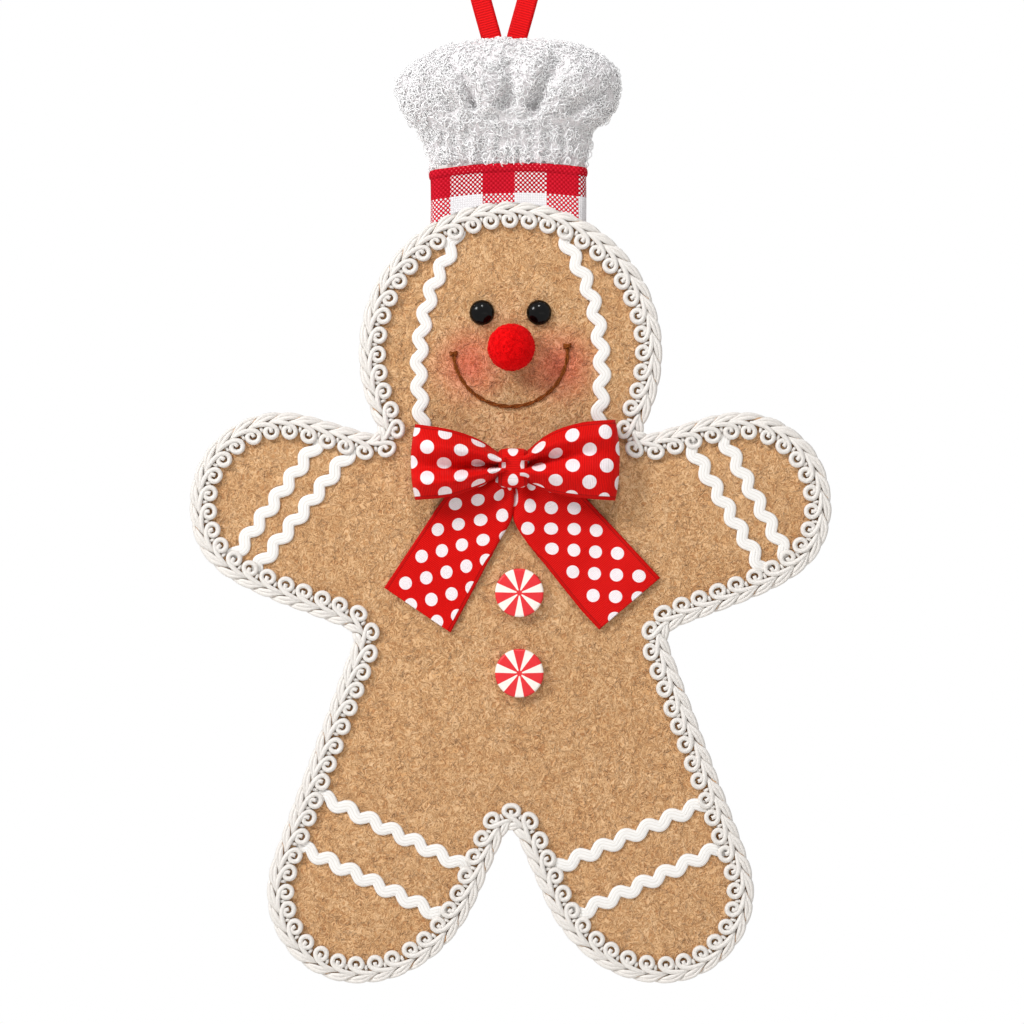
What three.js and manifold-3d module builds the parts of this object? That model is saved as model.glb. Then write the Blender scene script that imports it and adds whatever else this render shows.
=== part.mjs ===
// Gingerbread man ornament: a flat felt-covered figure edged with scroll gimp, with rickrack icing,
// a dotted ribbon bow, two peppermint buttons, a gathered white hat and a ribbon loop to hang it by.
// Millimetres, +Z up, the front faces -Y. The origin is inside the top of the hanging loop.

import * as THREE from "three";
import { mergeVertices } from "three/addons/utils/BufferGeometryUtils.js";
import Module from "manifold-3d";

const wasm = await Module();
wasm.setup();

// Outline of the figure to the outer edge of its gimp. Drops are measured down from the corner of the
// neck. Hands and armpits lie out from that corner, and feet and insteps out from the centre line.
const HEAD_RADIUS = 48.4;
const NECK_ANGLE = THREE.MathUtils.degToRad(33.6);
const HAND_RADIUS = 29.4;
const HAND_OUT = 32.4;
const HAND_DROP = 21.1;
const UNDERARM_OUT = 18.9;
const UNDERARM_DROP = 58.1;
const ARMPIT_OUT = 8.5;
const ARMPIT_DROP = 62;
const FOOT_RADIUS = 29.2;
const FOOT_OUT = 48.4;
const FOOT_DROP = 144.5;
const INSTEP_OUT = 10.8;
const INSTEP_DROP = 147;
const CROTCH_DROP = 121.9;
const NECK_FILLET = 4;
const ARMPIT_FILLET = 3;
const CROTCH_FILLET = 4;
const HAND_FULLNESS_SHARES = { down: 0.75, back: 1.02 };
const FOOT_FULLNESS_SHARES = { back: 0.65, down: 0.51 };
const OUTLINE_STEP = 6.5;
const CORNER_STEPS = 6;

// Layers of the figure, from the foam core outwards.
const FOAM_THICKNESS = 6;
const FELT_THICKNESS = 1.5;
const GLUE_FILM = 0.1;
const CLEARANCE = 0.3;
const OVERRUN = 5;
const FRONT = -(FOAM_THICKNESS / 2 + GLUE_FILM + FELT_THICKNESS);
const BACK = FOAM_THICKNESS / 2 + GLUE_FILM + FELT_THICKNESS;
const ON_FELT = FRONT - GLUE_FILM;

// Scroll gimp: a plaited heading wraps the rim, and a row of scrolls lies on the felt inside it.
const GIMP_WIDTH = 8.6;
const GIMP_PROUD = 1.25;
const HEADING_WIDTH = 4.6;
const HEADING_HEIGHT = 2;
const HEADING_WRAP = 4;
const HEADING_ROUND_SHARES = { rim: 0.3, crown: 0.35, inner: 0.4 };
const SCROLL_PITCH = 6;
const SCROLL_RADIUS = 2.5;
const SCROLL_HEIGHT = 1.7;
const SCALLOP_ANGLES = [-60, -20, 20, 60].map(THREE.MathUtils.degToRad);

// Rickrack icing: a woven zigzag braid, glued across the head, arms and legs.
const RICKRACK_BAND = 3.5;
const RICKRACK_SWING = 0.75;
const RICKRACK_PITCH = 7.6;
const RICKRACK_THICKNESS = 0.9;
const RICKRACK_STEPS = 6;
const HEAD_STRIP_SHARES = [
  [0.33, 0.8],
  [0.53, 0.37],
  [0.6, -0.06],
  [0.545, -0.55],
];
const STRIP_REACH_SHARE = 1.15;
const ARM_STRIPS = [
  { name: "rickrack_arm_left_outer", side: -1, centreShares: [0.02, 0.1], slant: 53.7 },
  { name: "rickrack_arm_left_inner", side: -1, centreShares: [-0.285, -0.013], slant: 51.5 },
  { name: "rickrack_arm_right_inner", side: 1, centreShares: [-0.14, -0.04], slant: 59.5 },
  { name: "rickrack_arm_right_outer", side: 1, centreShares: [0.15, 0.105], slant: 61.7 },
];
const LEG_STRIPS = [
  { name: "rickrack_leg_left_upper", side: -1, centreShares: [-0.38, 0.66], slant: 153.9 },
  { name: "rickrack_leg_left_lower", side: -1, centreShares: [-0.145, 0.115], slant: 154 },
  { name: "rickrack_leg_right_upper", side: 1, centreShares: [-0.35, 0.62], slant: 156.5 },
  { name: "rickrack_leg_right_lower", side: 1, centreShares: [-0.125, 0.135], slant: 155 },
];

// Face: two domed eyes, a felt ball nose and a sewn smile with a tack stitch across each end.
const EYE_RADIUS = 4;
const EYE_HEIGHT = 3.4;
const EYE_CENTRE_SHARES = { out: 0.187, up: 0.263 };
const NOSE_RADIUS = 7.55;
const NOSE_FLAT_SHARE = 0.6;
const NOSE_CENTRE_SHARES = { out: 0.005, up: 0.031 };
const SMILE_SPREAD_SHARE = 0.374;
const SMILE_TILT = THREE.MathUtils.degToRad(4);
const SMILE_THREAD = 1.1;
const SMILE_STEPS = 20;
const TACK_LENGTH = 2.8;
const THREAD_SIDES = 6;

// Bow of dotted ribbon: two loops and a knot, with two tails that hinge below the loops.
const BOW_OUT = 0.8;
const BOW_DROP = 9.9;
const BOW_RIBBON_WIDTH = 25.4;
const BOW_RIBBON_THICKNESS = 0.5;
const KNOT_WIDTH = 9.2;
const KNOT_HEIGHT = 12;
const KNOT_DEPTH = 9.6;
const KNOT_ROUND = 1.6;
const LOOP_REACH = 28.4;
const LOOP_DEPTH = 9;
const LOOP_RISE = 2.2;
const LOOP_PINCH_SHARE = 0.27;
const LOOP_STEPS = 22;
const LOOP_PLAN_SHARES = [
  [0, 0.5],
  [0.28, 0.8],
  [0.62, 1],
  [0.9, 0.86],
  [1, 0.5],
  [0.9, 0.16],
  [0.62, 0.06],
  [0.28, 0.1],
  [0, 0.24],
];
const TAIL_HINGE_REACH = 27;
const TAIL_LIFT = 0.6;
const LEFT_TAIL_LENGTH = 54.3;
const RIGHT_TAIL_LENGTH = 56.6;
const TAILS = [
  { side: "left", spread: THREE.MathUtils.degToRad(-34), length: LEFT_TAIL_LENGTH },
  { side: "right", spread: THREE.MathUtils.degToRad(40.3), length: RIGHT_TAIL_LENGTH },
];

// Peppermint buttons down the belly.
const BUTTON_RADIUS = 7.7;
const BUTTON_THICKNESS = 3;
const BUTTON_ROUND = 0.8;
const BUTTON_OUT = 2.8;
const BUTTON_UPPER_DROP = 49.4;
const BUTTON_PITCH = 25.5;

// Hat: a gingham band round the crown of the head and a gathered puff above it.
const HAT_OUT = -0.7;
const BAND_WIDTH = 49.2;
const BAND_SHOW = 11.2;
const BAND_WALL = 1;
const BAND_FRONT = 5.5;
const BAND_CORNER = 3.5;
const PUFF_WIDTH = 72;
const PUFF_HEIGHT = 39.2;
const PUFF_FRONT = 17;
const PUFF_FOLD_DEPTH = 2.6;
const PUFF_FOLD_SHARES = [-0.6, -0.36, -0.06, 0.29, 0.65];
const PUFF_FOLD_REACH_SHARE = 0.11;
const PUFF_BACK_SHARES = [0.92, 0.5, 0, -0.5, -0.92];
const PUFF_FOLD_STEPS = 4;
const PUFF_ROUNDNESS = 2.5;
const PUFF_RING_SHARES = [
  { height: 0, width: 0.69, front: 0.34, fold: 0 },
  { height: 0.105, width: 0.72, front: 0.42, fold: 0.1 },
  { height: 0.26, width: 0.775, front: 0.58, fold: 0.5 },
  { height: 0.36, width: 0.87, front: 0.74, fold: 0.9 },
  { height: 0.46, width: 0.95, front: 0.88, fold: 1 },
  { height: 0.633, width: 1, front: 1, fold: 0.8 },
  { height: 0.73, width: 0.97, front: 0.96, fold: 0.5 },
  { height: 0.85, width: 0.86, front: 0.82, fold: 0.2 },
  { height: 0.946, width: 0.64, front: 0.58, fold: 0 },
  { height: 0.987, width: 0.42, front: 0.36, fold: 0 },
  { height: 1, width: 0.27, front: 0.2, fold: 0 },
];

// Hanging ribbon: a narrow ribbon looped above the hat, its two ends sewn inside the puff.
const HANGER_WIDTH = 6.5;
const HANGER_THICKNESS = 0.6;
const HANGER_STRAND_OUT = 4;
const HANGER_TUCK = 11;
const HANGER_OUT = -2;
const HANGER_DEPTH = -0.8;
const CROWN_DIP = 0.8;
const FLEX_GAP = 0.4;
const LOOP_LENGTH = 95;
const LOOP_HALF_WIDTH = 16.4;
const LOOP_ROUTE_SHARES = [
  [0.44, 0.126],
  [0.76, 0.337],
  [1, 0.579],
  [0.93, 0.789],
  [0.525, 0.947],
];
const HANGER_STEPS = 36;
const TWIST_START_SHARE = 0.1;
const TWIST_END_SHARE = 0.36;

// Heights and places that follow from the sizes above.
const NECK = polar(HEAD_RADIUS, -NECK_ANGLE);
const HAND = new THREE.Vector2(NECK.x + HAND_OUT, NECK.y - HAND_DROP);
const FOOT = new THREE.Vector2(FOOT_OUT, NECK.y - FOOT_DROP);
const KNOT = new THREE.Vector2(BOW_OUT, NECK.y - BOW_DROP);
const BAND_TOP = HEAD_RADIUS + BAND_SHOW;
const PUFF_BASE = BAND_TOP + CLEARANCE;
const CROWN = PUFF_BASE + PUFF_HEIGHT;
const EXIT = CROWN + CROWN_DIP;
const LOOP_BACK = ON_FELT - Math.max(HEADING_HEIGHT, SCROLL_HEIGHT) - CLEARANCE;
const TAIL_BACK = ON_FELT - TAIL_LIFT;

const FINISHES = {
  felt: { color: 0xc99b6e, roughness: 0.95, metalness: 0 },
  foam: { color: 0xf1ece0, roughness: 0.9, metalness: 0 },
  gimp: { color: 0xf2eee8, roughness: 0.55, metalness: 0 },
  rickrack: { color: 0xf4f2ec, roughness: 0.75, metalness: 0 },
  eye: { color: 0x0d0c0c, roughness: 0.08, metalness: 0 },
  noseFelt: { color: 0xd80c12, roughness: 0.9, metalness: 0 },
  smileThread: { color: 0x6b3417, roughness: 0.7, metalness: 0 },
  dottedRibbon: { color: 0xd9201f, roughness: 0.6, metalness: 0 },
  peppermint: { color: 0xd8323a, roughness: 0.35, metalness: 0 },
  gingham: { color: 0xc8202c, roughness: 0.85, metalness: 0 },
  wadding: { color: 0xf3f1ee, roughness: 1, metalness: 0 },
  fleece: { color: 0xeceaec, roughness: 1, metalness: 0 },
  hangingRibbon: { color: 0xe6242a, roughness: 0.6, metalness: 0 },
};

function named(name, geometry, finish) {
  const mesh = new THREE.Mesh(geometry, new THREE.MeshStandardMaterial(FINISHES[finish]));
  mesh.name = name;
  return mesh;
}

// A geometry's surface as a solid that can be joined and cut.
function solidOf(geometry) {
  const bare = geometry.clone();
  bare.deleteAttribute("normal");
  bare.deleteAttribute("uv");
  const merged = mergeVertices(bare);
  return new wasm.Manifold(
    new wasm.Mesh({
      numProp: 3,
      vertProperties: merged.attributes.position.array,
      triVerts: new Uint32Array(merged.index.array),
    }),
  );
}

function geometryOf(solid) {
  const mesh = solid.getMesh();
  const geometry = new THREE.BufferGeometry();
  geometry.setAttribute("position", new THREE.BufferAttribute(mesh.vertProperties, 3));
  geometry.setIndex(new THREE.BufferAttribute(mesh.triVerts, 1));
  geometry.computeVertexNormals();
  return geometry;
}

// A flat piece whose outline is drawn as seen from the front, between two depths along Y.
function plate(outline, front, back, holes = []) {
  const shape = new THREE.Shape(outline);
  shape.holes = holes.map((points) => new THREE.Path([...points].reverse()));
  const geometry = new THREE.ExtrudeGeometry(shape, { depth: back - front, bevelEnabled: false });
  geometry.rotateX(Math.PI / 2);
  geometry.translate(0, back, 0);
  return geometry;
}

// A solid through a row of sections with the same number of points each, closed on itself or capped.
function loft(sections, closed) {
  const around = sections[0].length;
  const positions = sections.flat().flatMap((point) => point.toArray());
  const index = [];
  const links = closed ? sections.length : sections.length - 1;
  for (let i = 0; i < links; i++) {
    const here = i * around;
    const next = ((i + 1) % sections.length) * around;
    for (let k = 0; k < around; k++) {
      const l = (k + 1) % around;
      index.push(here + k, here + l, next + l, here + k, next + l, next + k);
    }
  }
  const last = (sections.length - 1) * around;
  for (let k = 1; !closed && k < around - 1; k++) {
    index.push(0, k + 1, k, last, last + k, last + k + 1);
  }
  const geometry = new THREE.BufferGeometry();
  geometry.setAttribute("position", new THREE.Float32BufferAttribute(positions, 3));
  geometry.setIndex(index);
  geometry.computeVertexNormals();
  return geometry;
}

function polar(radius, angle) {
  return new THREE.Vector2(radius * Math.cos(angle), radius * Math.sin(angle));
}

function towards(from, to, distance) {
  return to.clone().sub(from).setLength(distance).add(from);
}

// The point where a line from a corner grazes a circle, clockwise of the corner.
function grazingPoint(corner, centre, radius) {
  const back = corner.clone().sub(centre);
  const turn = Math.acos(radius / back.length());
  return back.rotateAround(new THREE.Vector2(), -turn).setLength(radius).add(centre);
}

// The right half of the outline, clockwise from the top of the head to the crotch.
function halfOutline() {
  const underarm = new THREE.Vector2(NECK.x + UNDERARM_OUT, NECK.y - UNDERARM_DROP);
  const armpit = new THREE.Vector2(NECK.x + ARMPIT_OUT, NECK.y - ARMPIT_DROP);
  const instep = new THREE.Vector2(INSTEP_OUT, NECK.y - INSTEP_DROP);
  const crotch = new THREE.Vector2(0, NECK.y - CROTCH_DROP);
  const shoulder = grazingPoint(NECK, HAND, HAND_RADIUS);
  const hip = grazingPoint(armpit, FOOT, FOOT_RADIUS);
  const path = new THREE.Path();

  path.absarc(0, 0, HEAD_RADIUS, Math.PI / 2, NECK_FILLET / HEAD_RADIUS - NECK_ANGLE, true);
  const neckEnd = towards(NECK, shoulder, NECK_FILLET);
  path.quadraticCurveTo(NECK.x, NECK.y, neckEnd.x, neckEnd.y);

  path.absarc(HAND.x, HAND.y, HAND_RADIUS, shoulder.clone().sub(HAND).angle(), 0, true);
  const handHeel = towards(underarm, armpit, -HAND_RADIUS * HAND_FULLNESS_SHARES.back);
  path.bezierCurveTo(
    HAND.x + HAND_RADIUS,
    HAND.y - HAND_RADIUS * HAND_FULLNESS_SHARES.down,
    handHeel.x,
    handHeel.y,
    underarm.x,
    underarm.y,
  );

  const armpitStart = towards(armpit, underarm, ARMPIT_FILLET);
  const armpitEnd = towards(armpit, hip, ARMPIT_FILLET);
  path.lineTo(armpitStart.x, armpitStart.y);
  path.quadraticCurveTo(armpit.x, armpit.y, armpitEnd.x, armpitEnd.y);

  path.absarc(FOOT.x, FOOT.y, FOOT_RADIUS, hip.clone().sub(FOOT).angle(), -Math.PI / 2, true);
  const toe = towards(instep, crotch, -FOOT_RADIUS * FOOT_FULLNESS_SHARES.down);
  path.bezierCurveTo(
    FOOT.x - FOOT_RADIUS * FOOT_FULLNESS_SHARES.back,
    FOOT.y - FOOT_RADIUS,
    toe.x,
    toe.y,
    instep.x,
    instep.y,
  );

  const crotchStart = towards(crotch, instep, CROTCH_FILLET);
  const crotchEnd = crotch.clone().setY((crotch.y + crotchStart.y) / 2);
  path.lineTo(crotchStart.x, crotchStart.y);
  path.quadraticCurveTo(crotchStart.x / 2, crotchEnd.y, crotchEnd.x, crotchEnd.y);
  return path;
}

// The whole outline as points, clockwise from the top of the head.
function outlinePoints() {
  const right = [];
  for (const curve of halfOutline().curves) {
    const steps = Math.max(CORNER_STEPS, Math.ceil(curve.getLength() / OUTLINE_STEP));
    right.push(...curve.getPoints(curve.isLineCurve ? 1 : steps).slice(0, -1));
  }
  right.push(new THREE.Vector2(0, halfOutline().getPoint(1).y));
  const left = right.slice(1, -1).reverse();
  return [...right, ...left.map((point) => new THREE.Vector2(-point.x, point.y))];
}

// A clockwise outline moved inwards by a distance, corner for corner.
function inset(points, distance) {
  return points.map((point, i) => {
    const before = points[(i + points.length - 1) % points.length];
    const after = points[(i + 1) % points.length];
    const arriving = inward(before, point);
    const leaving = inward(point, after);
    const middle = arriving.clone().add(leaving).normalize();
    return middle.multiplyScalar(distance / middle.dot(arriving)).add(point);
  });
}

function inward(from, to) {
  return new THREE.Vector2(to.y - from.y, from.x - to.x).normalize();
}

// Points spaced evenly round a closed outline, each with its direction of travel.
function stations(points, count) {
  const path = new THREE.Path([...points, points[0]]);
  path.arcLengthDivisions = points.length * CORNER_STEPS;
  const found = [];
  for (let k = 0; k < count; k++) {
    const share = (k + 0.5) / count;
    found.push({ point: path.getPointAt(share), along: path.getTangentAt(share) });
  }
  return found;
}

const OUTLINE = outlinePoints();

function foamCore() {
  const outline = inset(OUTLINE, GIMP_PROUD + FELT_THICKNESS + CLEARANCE);
  return plate(outline, -FOAM_THICKNESS / 2, FOAM_THICKNESS / 2);
}

function backFelt() {
  return plate(inset(OUTLINE, GIMP_PROUD), FOAM_THICKNESS / 2 + GLUE_FILM, BACK);
}

// The front felt lies over the foam and turns down its edge all round.
function frontFelt() {
  const outside = plate(inset(OUTLINE, GIMP_PROUD), FRONT, FOAM_THICKNESS / 2);
  const hollow = inset(OUTLINE, GIMP_PROUD + FELT_THICKNESS);
  const inside = plate(hollow, FRONT + FELT_THICKNESS, FOAM_THICKNESS / 2 + OVERRUN);
  return geometryOf(solidOf(outside).subtract(solidOf(inside)));
}

// The heading's section, as how far in from the edge and how deep each corner lies.
function headingSection() {
  const rim = GIMP_PROUD - GLUE_FILM;
  const top = ON_FELT - HEADING_HEIGHT;
  const foot = FRONT + HEADING_WRAP;
  return [
    [rim, foot],
    [0, foot - rim],
    [0, top + HEADING_HEIGHT * (1 - HEADING_ROUND_SHARES.rim)],
    [HEADING_WIDTH * HEADING_ROUND_SHARES.crown, top],
    [HEADING_WIDTH * (1 - HEADING_ROUND_SHARES.rim), top],
    [HEADING_WIDTH, top + HEADING_HEIGHT * HEADING_ROUND_SHARES.inner],
    [HEADING_WIDTH, ON_FELT],
    [rim, ON_FELT],
  ];
}

function heading() {
  const loops = headingSection().map(([depth, y]) =>
    inset(OUTLINE, depth).map((point) => new THREE.Vector3(point.x, y, point.y)),
  );
  const sections = OUTLINE.map((_, i) => loops.map((loop) => loop[i]));
  return loft(sections, true);
}

// The scroll row's scalloped inner edge: one bulge for each scroll.
function scallopedEdge() {
  const line = inset(OUTLINE, GIMP_WIDTH - SCROLL_RADIUS);
  const count = Math.round(new THREE.Path([...line, line[0]]).getLength() / SCROLL_PITCH);
  const edge = [];
  for (const { point, along } of stations(line, count)) {
    const inside = new THREE.Vector2(along.y, -along.x);
    for (const angle of SCALLOP_ANGLES) {
      const across = inside.clone().multiplyScalar(SCROLL_RADIUS * Math.cos(angle));
      edge.push(across.addScaledVector(along, SCROLL_RADIUS * Math.sin(angle)).add(point));
    }
  }
  return edge;
}

function scrollGimp() {
  const outer = inset(OUTLINE, (GIMP_PROUD + HEADING_WIDTH) / 2);
  const scrolls = plate(outer, ON_FELT - SCROLL_HEIGHT, ON_FELT, [scallopedEdge()]);
  return geometryOf(solidOf(heading()).add(solidOf(scrolls)));
}

// A wavy band along a centreline, drawn flat as seen from the front.
function wavyBand(line) {
  const length = line.getLength();
  const steps = Math.round((length / RICKRACK_PITCH) * RICKRACK_STEPS);
  const rate = (2 * Math.PI) / RICKRACK_PITCH;
  const left = [];
  const right = [];
  for (let k = 0; k <= steps; k++) {
    const share = k / steps;
    const along = line.getTangentAt(share);
    const across = new THREE.Vector2(-along.y, along.x);
    const phase = share * length * rate;
    const centre = line.getPointAt(share).addScaledVector(across, RICKRACK_SWING * Math.sin(phase));
    const heading = along.clone().addScaledVector(across, RICKRACK_SWING * rate * Math.cos(phase));
    const side = new THREE.Vector2(-heading.y, heading.x).setLength(RICKRACK_BAND / 2);
    left.push(centre.clone().add(side));
    right.push(centre.clone().sub(side));
  }
  return [...left, ...right.reverse()];
}

// A rickrack strip, cut where it meets the scrolls of the gimp.
function rickrack(line) {
  const band = plate(wavyBand(line), ON_FELT - RICKRACK_THICKNESS, ON_FELT);
  const opening = inset(OUTLINE, GIMP_WIDTH + CLEARANCE);
  const field = plate(opening, ON_FELT - RICKRACK_THICKNESS - OVERRUN, ON_FELT + OVERRUN);
  return geometryOf(solidOf(band).intersect(solidOf(field)));
}

function headStrip(side) {
  const points = HEAD_STRIP_SHARES.map(
    ([out, up]) => new THREE.Vector2(side * out * HEAD_RADIUS, up * HEAD_RADIUS),
  );
  return rickrack(new THREE.SplineCurve(points));
}

// A straight strip across a limb, slanting outwards and down from vertical by its angle.
function limbStrip(strip, limb, limbRadius) {
  const [out, up] = strip.centreShares;
  const centre = new THREE.Vector2(
    strip.side * (limb.x + out * limbRadius),
    limb.y + up * limbRadius,
  );
  const slant = THREE.MathUtils.degToRad(strip.slant);
  const reach = new THREE.Vector2(strip.side * Math.cos(slant), -Math.sin(slant));
  reach.multiplyScalar(limbRadius * STRIP_REACH_SHARE);
  return rickrack(new THREE.LineCurve(centre.clone().sub(reach), centre.clone().add(reach)));
}

// A piece turned on an axis that points out of the felt, given as [radius, height] pairs.
function turned(profile, sides) {
  const points = profile.map(([radius, height]) => new THREE.Vector2(radius, height));
  const geometry = new THREE.LatheGeometry(points, sides);
  geometry.rotateX(Math.PI);
  return geometry;
}

// A profile point on a dome of the given radius and height, from its rim at 0 to its top at 1.
function domePoint(radius, height, share) {
  const angle = (share * Math.PI) / 2;
  return [share < 1 ? radius * Math.cos(angle) : 0, height * Math.sin(angle)];
}

function eye() {
  const dome = [0, 0.25, 0.5, 0.75, 1].map((share) => domePoint(EYE_RADIUS, EYE_HEIGHT, share));
  return turned([[0, 0], ...dome], 20);
}

function noseBall() {
  const flat = NOSE_RADIUS * NOSE_FLAT_SHARE;
  const sink = Math.sqrt(NOSE_RADIUS ** 2 - flat ** 2);
  const start = Math.asin(sink / NOSE_RADIUS);
  const steps = 9;
  const profile = [[0, 0]];
  for (let k = 0; k <= steps; k++) {
    const angle = (k / steps) * (start + Math.PI / 2) - start;
    const radius = k < steps ? NOSE_RADIUS * Math.cos(angle) : 0;
    profile.push([radius, sink + NOSE_RADIUS * Math.sin(angle)]);
  }
  return turned(profile, 24);
}

function peppermintButton() {
  const inner = BUTTON_RADIUS - BUTTON_ROUND;
  return turned(
    [
      [0, 0],
      [inner, 0],
      [BUTTON_RADIUS, BUTTON_ROUND],
      [BUTTON_RADIUS, BUTTON_THICKNESS - BUTTON_ROUND],
      [inner, BUTTON_THICKNESS],
      [0, BUTTON_THICKNESS],
    ],
    28,
  );
}

// A round thread along a curve in space.
function thread(curve, steps) {
  const section = new THREE.Shape();
  for (let k = 0; k < THREAD_SIDES; k++) {
    const corner = polar(SMILE_THREAD / 2, (k / THREAD_SIDES) * 2 * Math.PI);
    if (k === 0) section.moveTo(corner.x, corner.y);
    else section.lineTo(corner.x, corner.y);
  }
  return new THREE.ExtrudeGeometry(section, { steps, extrudePath: curve, bevelEnabled: false });
}

const SMILE_RADIUS = HEAD_RADIUS * SMILE_SPREAD_SHARE;
const THREAD_DEPTH = ON_FELT - SMILE_THREAD / 2;

function onSmile(radius, angle) {
  const point = polar(radius, angle);
  return new THREE.Vector3(point.x, THREAD_DEPTH, point.y);
}

function smileThread() {
  const points = [];
  for (let k = 0; k <= SMILE_STEPS; k++) {
    points.push(onSmile(SMILE_RADIUS, SMILE_TILT - (k / SMILE_STEPS) * Math.PI));
  }
  return thread(new THREE.CatmullRomCurve3(points), SMILE_STEPS);
}

// A tack lies across the end of the smile, just beyond it.
function smileTack(end) {
  const past = (SMILE_THREAD + CLEARANCE) / SMILE_RADIUS;
  const angle = end > 0 ? SMILE_TILT + past : SMILE_TILT - Math.PI - past;
  const inner = onSmile(SMILE_RADIUS - TACK_LENGTH / 2, angle);
  const outer = onSmile(SMILE_RADIUS + TACK_LENGTH / 2, angle);
  return thread(new THREE.LineCurve3(inner, outer), 1);
}

// Half the height of a bow loop at a share of its reach: gathered at the knot, full at the end.
function loopHalfHeight(share) {
  const gathered = LOOP_PINCH_SHARE + (1 - LOOP_PINCH_SHARE) * Math.sqrt(share);
  return (gathered * BOW_RIBBON_WIDTH) / 2;
}

// One bow loop: the ribbon runs out from the knot in front, turns and comes back behind.
function bowLoop(side) {
  const plan = new THREE.SplineCurve(
    LOOP_PLAN_SHARES.map(
      ([out, depth]) => new THREE.Vector2(out * LOOP_REACH, LOOP_BACK - depth * LOOP_DEPTH),
    ),
  );
  const sections = [];
  for (let k = 0; k <= LOOP_STEPS; k++) {
    const share = k / LOOP_STEPS;
    const at = plan.getPointAt(share);
    const along = plan.getTangentAt(share);
    const across = new THREE.Vector2(-along.y, along.x).multiplyScalar(BOW_RIBBON_THICKNESS / 2);
    const outShare = THREE.MathUtils.clamp(at.x / LOOP_REACH, 0, 1);
    const half = loopHalfHeight(outShare);
    const middle = KNOT.y + LOOP_RISE * outShare;
    const corner = (turn, up) =>
      new THREE.Vector3(
        KNOT.x + side * (KNOT_WIDTH / 2 + CLEARANCE + at.x + turn * across.x),
        at.y + turn * across.y,
        middle + up * half,
      );
    const section = [corner(1, 1), corner(1, -1), corner(-1, -1), corner(-1, 1)];
    sections.push(side < 0 ? section : section.reverse());
  }
  return loft(sections, false);
}

function bowKnot() {
  const halfWidth = KNOT_WIDTH / 2 - KNOT_ROUND;
  const halfHeight = KNOT_HEIGHT / 2 - KNOT_ROUND;
  const shape = new THREE.Shape();
  shape.moveTo(-halfWidth, -halfHeight);
  shape.lineTo(halfWidth, -halfHeight);
  shape.lineTo(halfWidth, halfHeight);
  shape.lineTo(-halfWidth, halfHeight);
  const geometry = new THREE.ExtrudeGeometry(shape, {
    depth: KNOT_DEPTH - 2 * KNOT_ROUND,
    bevelThickness: KNOT_ROUND,
    bevelSize: KNOT_ROUND,
    bevelSegments: 3,
  });
  geometry.rotateX(Math.PI / 2);
  geometry.translate(KNOT.x, ON_FELT - KNOT_ROUND, KNOT.y);
  return geometry;
}

// Directions of a tail as seen from the front: down its length, and across it to the right.
function tailFrame({ spread }) {
  const down = new THREE.Vector2(Math.sin(spread), -Math.cos(spread));
  return { down, across: new THREE.Vector2(-down.y, down.x) };
}

function tailPoint(tail, reach, out) {
  const { down, across } = tailFrame(tail);
  return KNOT.clone().addScaledVector(down, reach).addScaledVector(across, out);
}

// The fixed part of a tail fans out from under the knot to its hinge line.
function tailRoot(tail) {
  const side = Math.sign(tail.spread);
  const knotFoot = KNOT.y - KNOT_HEIGHT / 2 - CLEARANCE;
  const hinge = TAIL_HINGE_REACH - FLEX_GAP;
  const half = BOW_RIBBON_WIDTH / 2;
  const inner = tailPoint(tail, hinge, -side * half);
  const outer = tailPoint(tail, hinge, side * half);
  const middle = KNOT.x + (side * CLEARANCE) / 2;
  const outline = [
    new THREE.Vector2(middle, knotFoot),
    new THREE.Vector2(middle, (knotFoot + inner.y) / 2),
    inner,
    outer,
    new THREE.Vector2(KNOT.x + (side * KNOT_WIDTH) / 2, knotFoot),
  ];
  return plate(outline, TAIL_BACK - BOW_RIBBON_THICKNESS, TAIL_BACK);
}

function tailEnd(tail) {
  const half = BOW_RIBBON_WIDTH / 2;
  const start = TAIL_HINGE_REACH + FLEX_GAP;
  const outline = [
    tailPoint(tail, start, -half),
    tailPoint(tail, start, half),
    tailPoint(tail, tail.length, half),
    tailPoint(tail, tail.length, -half),
  ];
  return plate(outline, TAIL_BACK - BOW_RIBBON_THICKNESS, TAIL_BACK);
}

// A rounded rectangle as seen from above, centred on the hat.
function bandSection(shrink) {
  const left = HAT_OUT - BAND_WIDTH / 2 + shrink;
  const right = HAT_OUT + BAND_WIDTH / 2 - shrink;
  const front = -BAND_FRONT + shrink;
  const back = BACK - shrink;
  const corner = BAND_CORNER - shrink;
  const shape = new THREE.Shape();
  shape.absarc(right - corner, back - corner, corner, 0, Math.PI / 2, false);
  shape.absarc(left + corner, back - corner, corner, Math.PI / 2, Math.PI, false);
  shape.absarc(left + corner, front + corner, corner, Math.PI, Math.PI * 1.5, false);
  shape.absarc(right - corner, front + corner, corner, Math.PI * 1.5, Math.PI * 2, false);
  return shape;
}

// A piece of the band's section that stands on the curve of the head.
function standOnHead(shape, clearance) {
  const block = new THREE.ExtrudeGeometry(shape, {
    depth: BAND_TOP,
    bevelEnabled: false,
    curveSegments: 3,
  });
  const length = 2 * (BAND_FRONT + BACK);
  const head = new THREE.CylinderGeometry(HEAD_RADIUS + clearance, HEAD_RADIUS + clearance, length, 90);
  return geometryOf(solidOf(block).subtract(solidOf(head)));
}

function hatBand() {
  const shape = bandSection(0);
  shape.holes = [bandSection(BAND_WALL)];
  return standOnHead(shape, CLEARANCE);
}

function hatFilling() {
  return standOnHead(bandSection(BAND_WALL + CLEARANCE), CLEARANCE);
}

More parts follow.
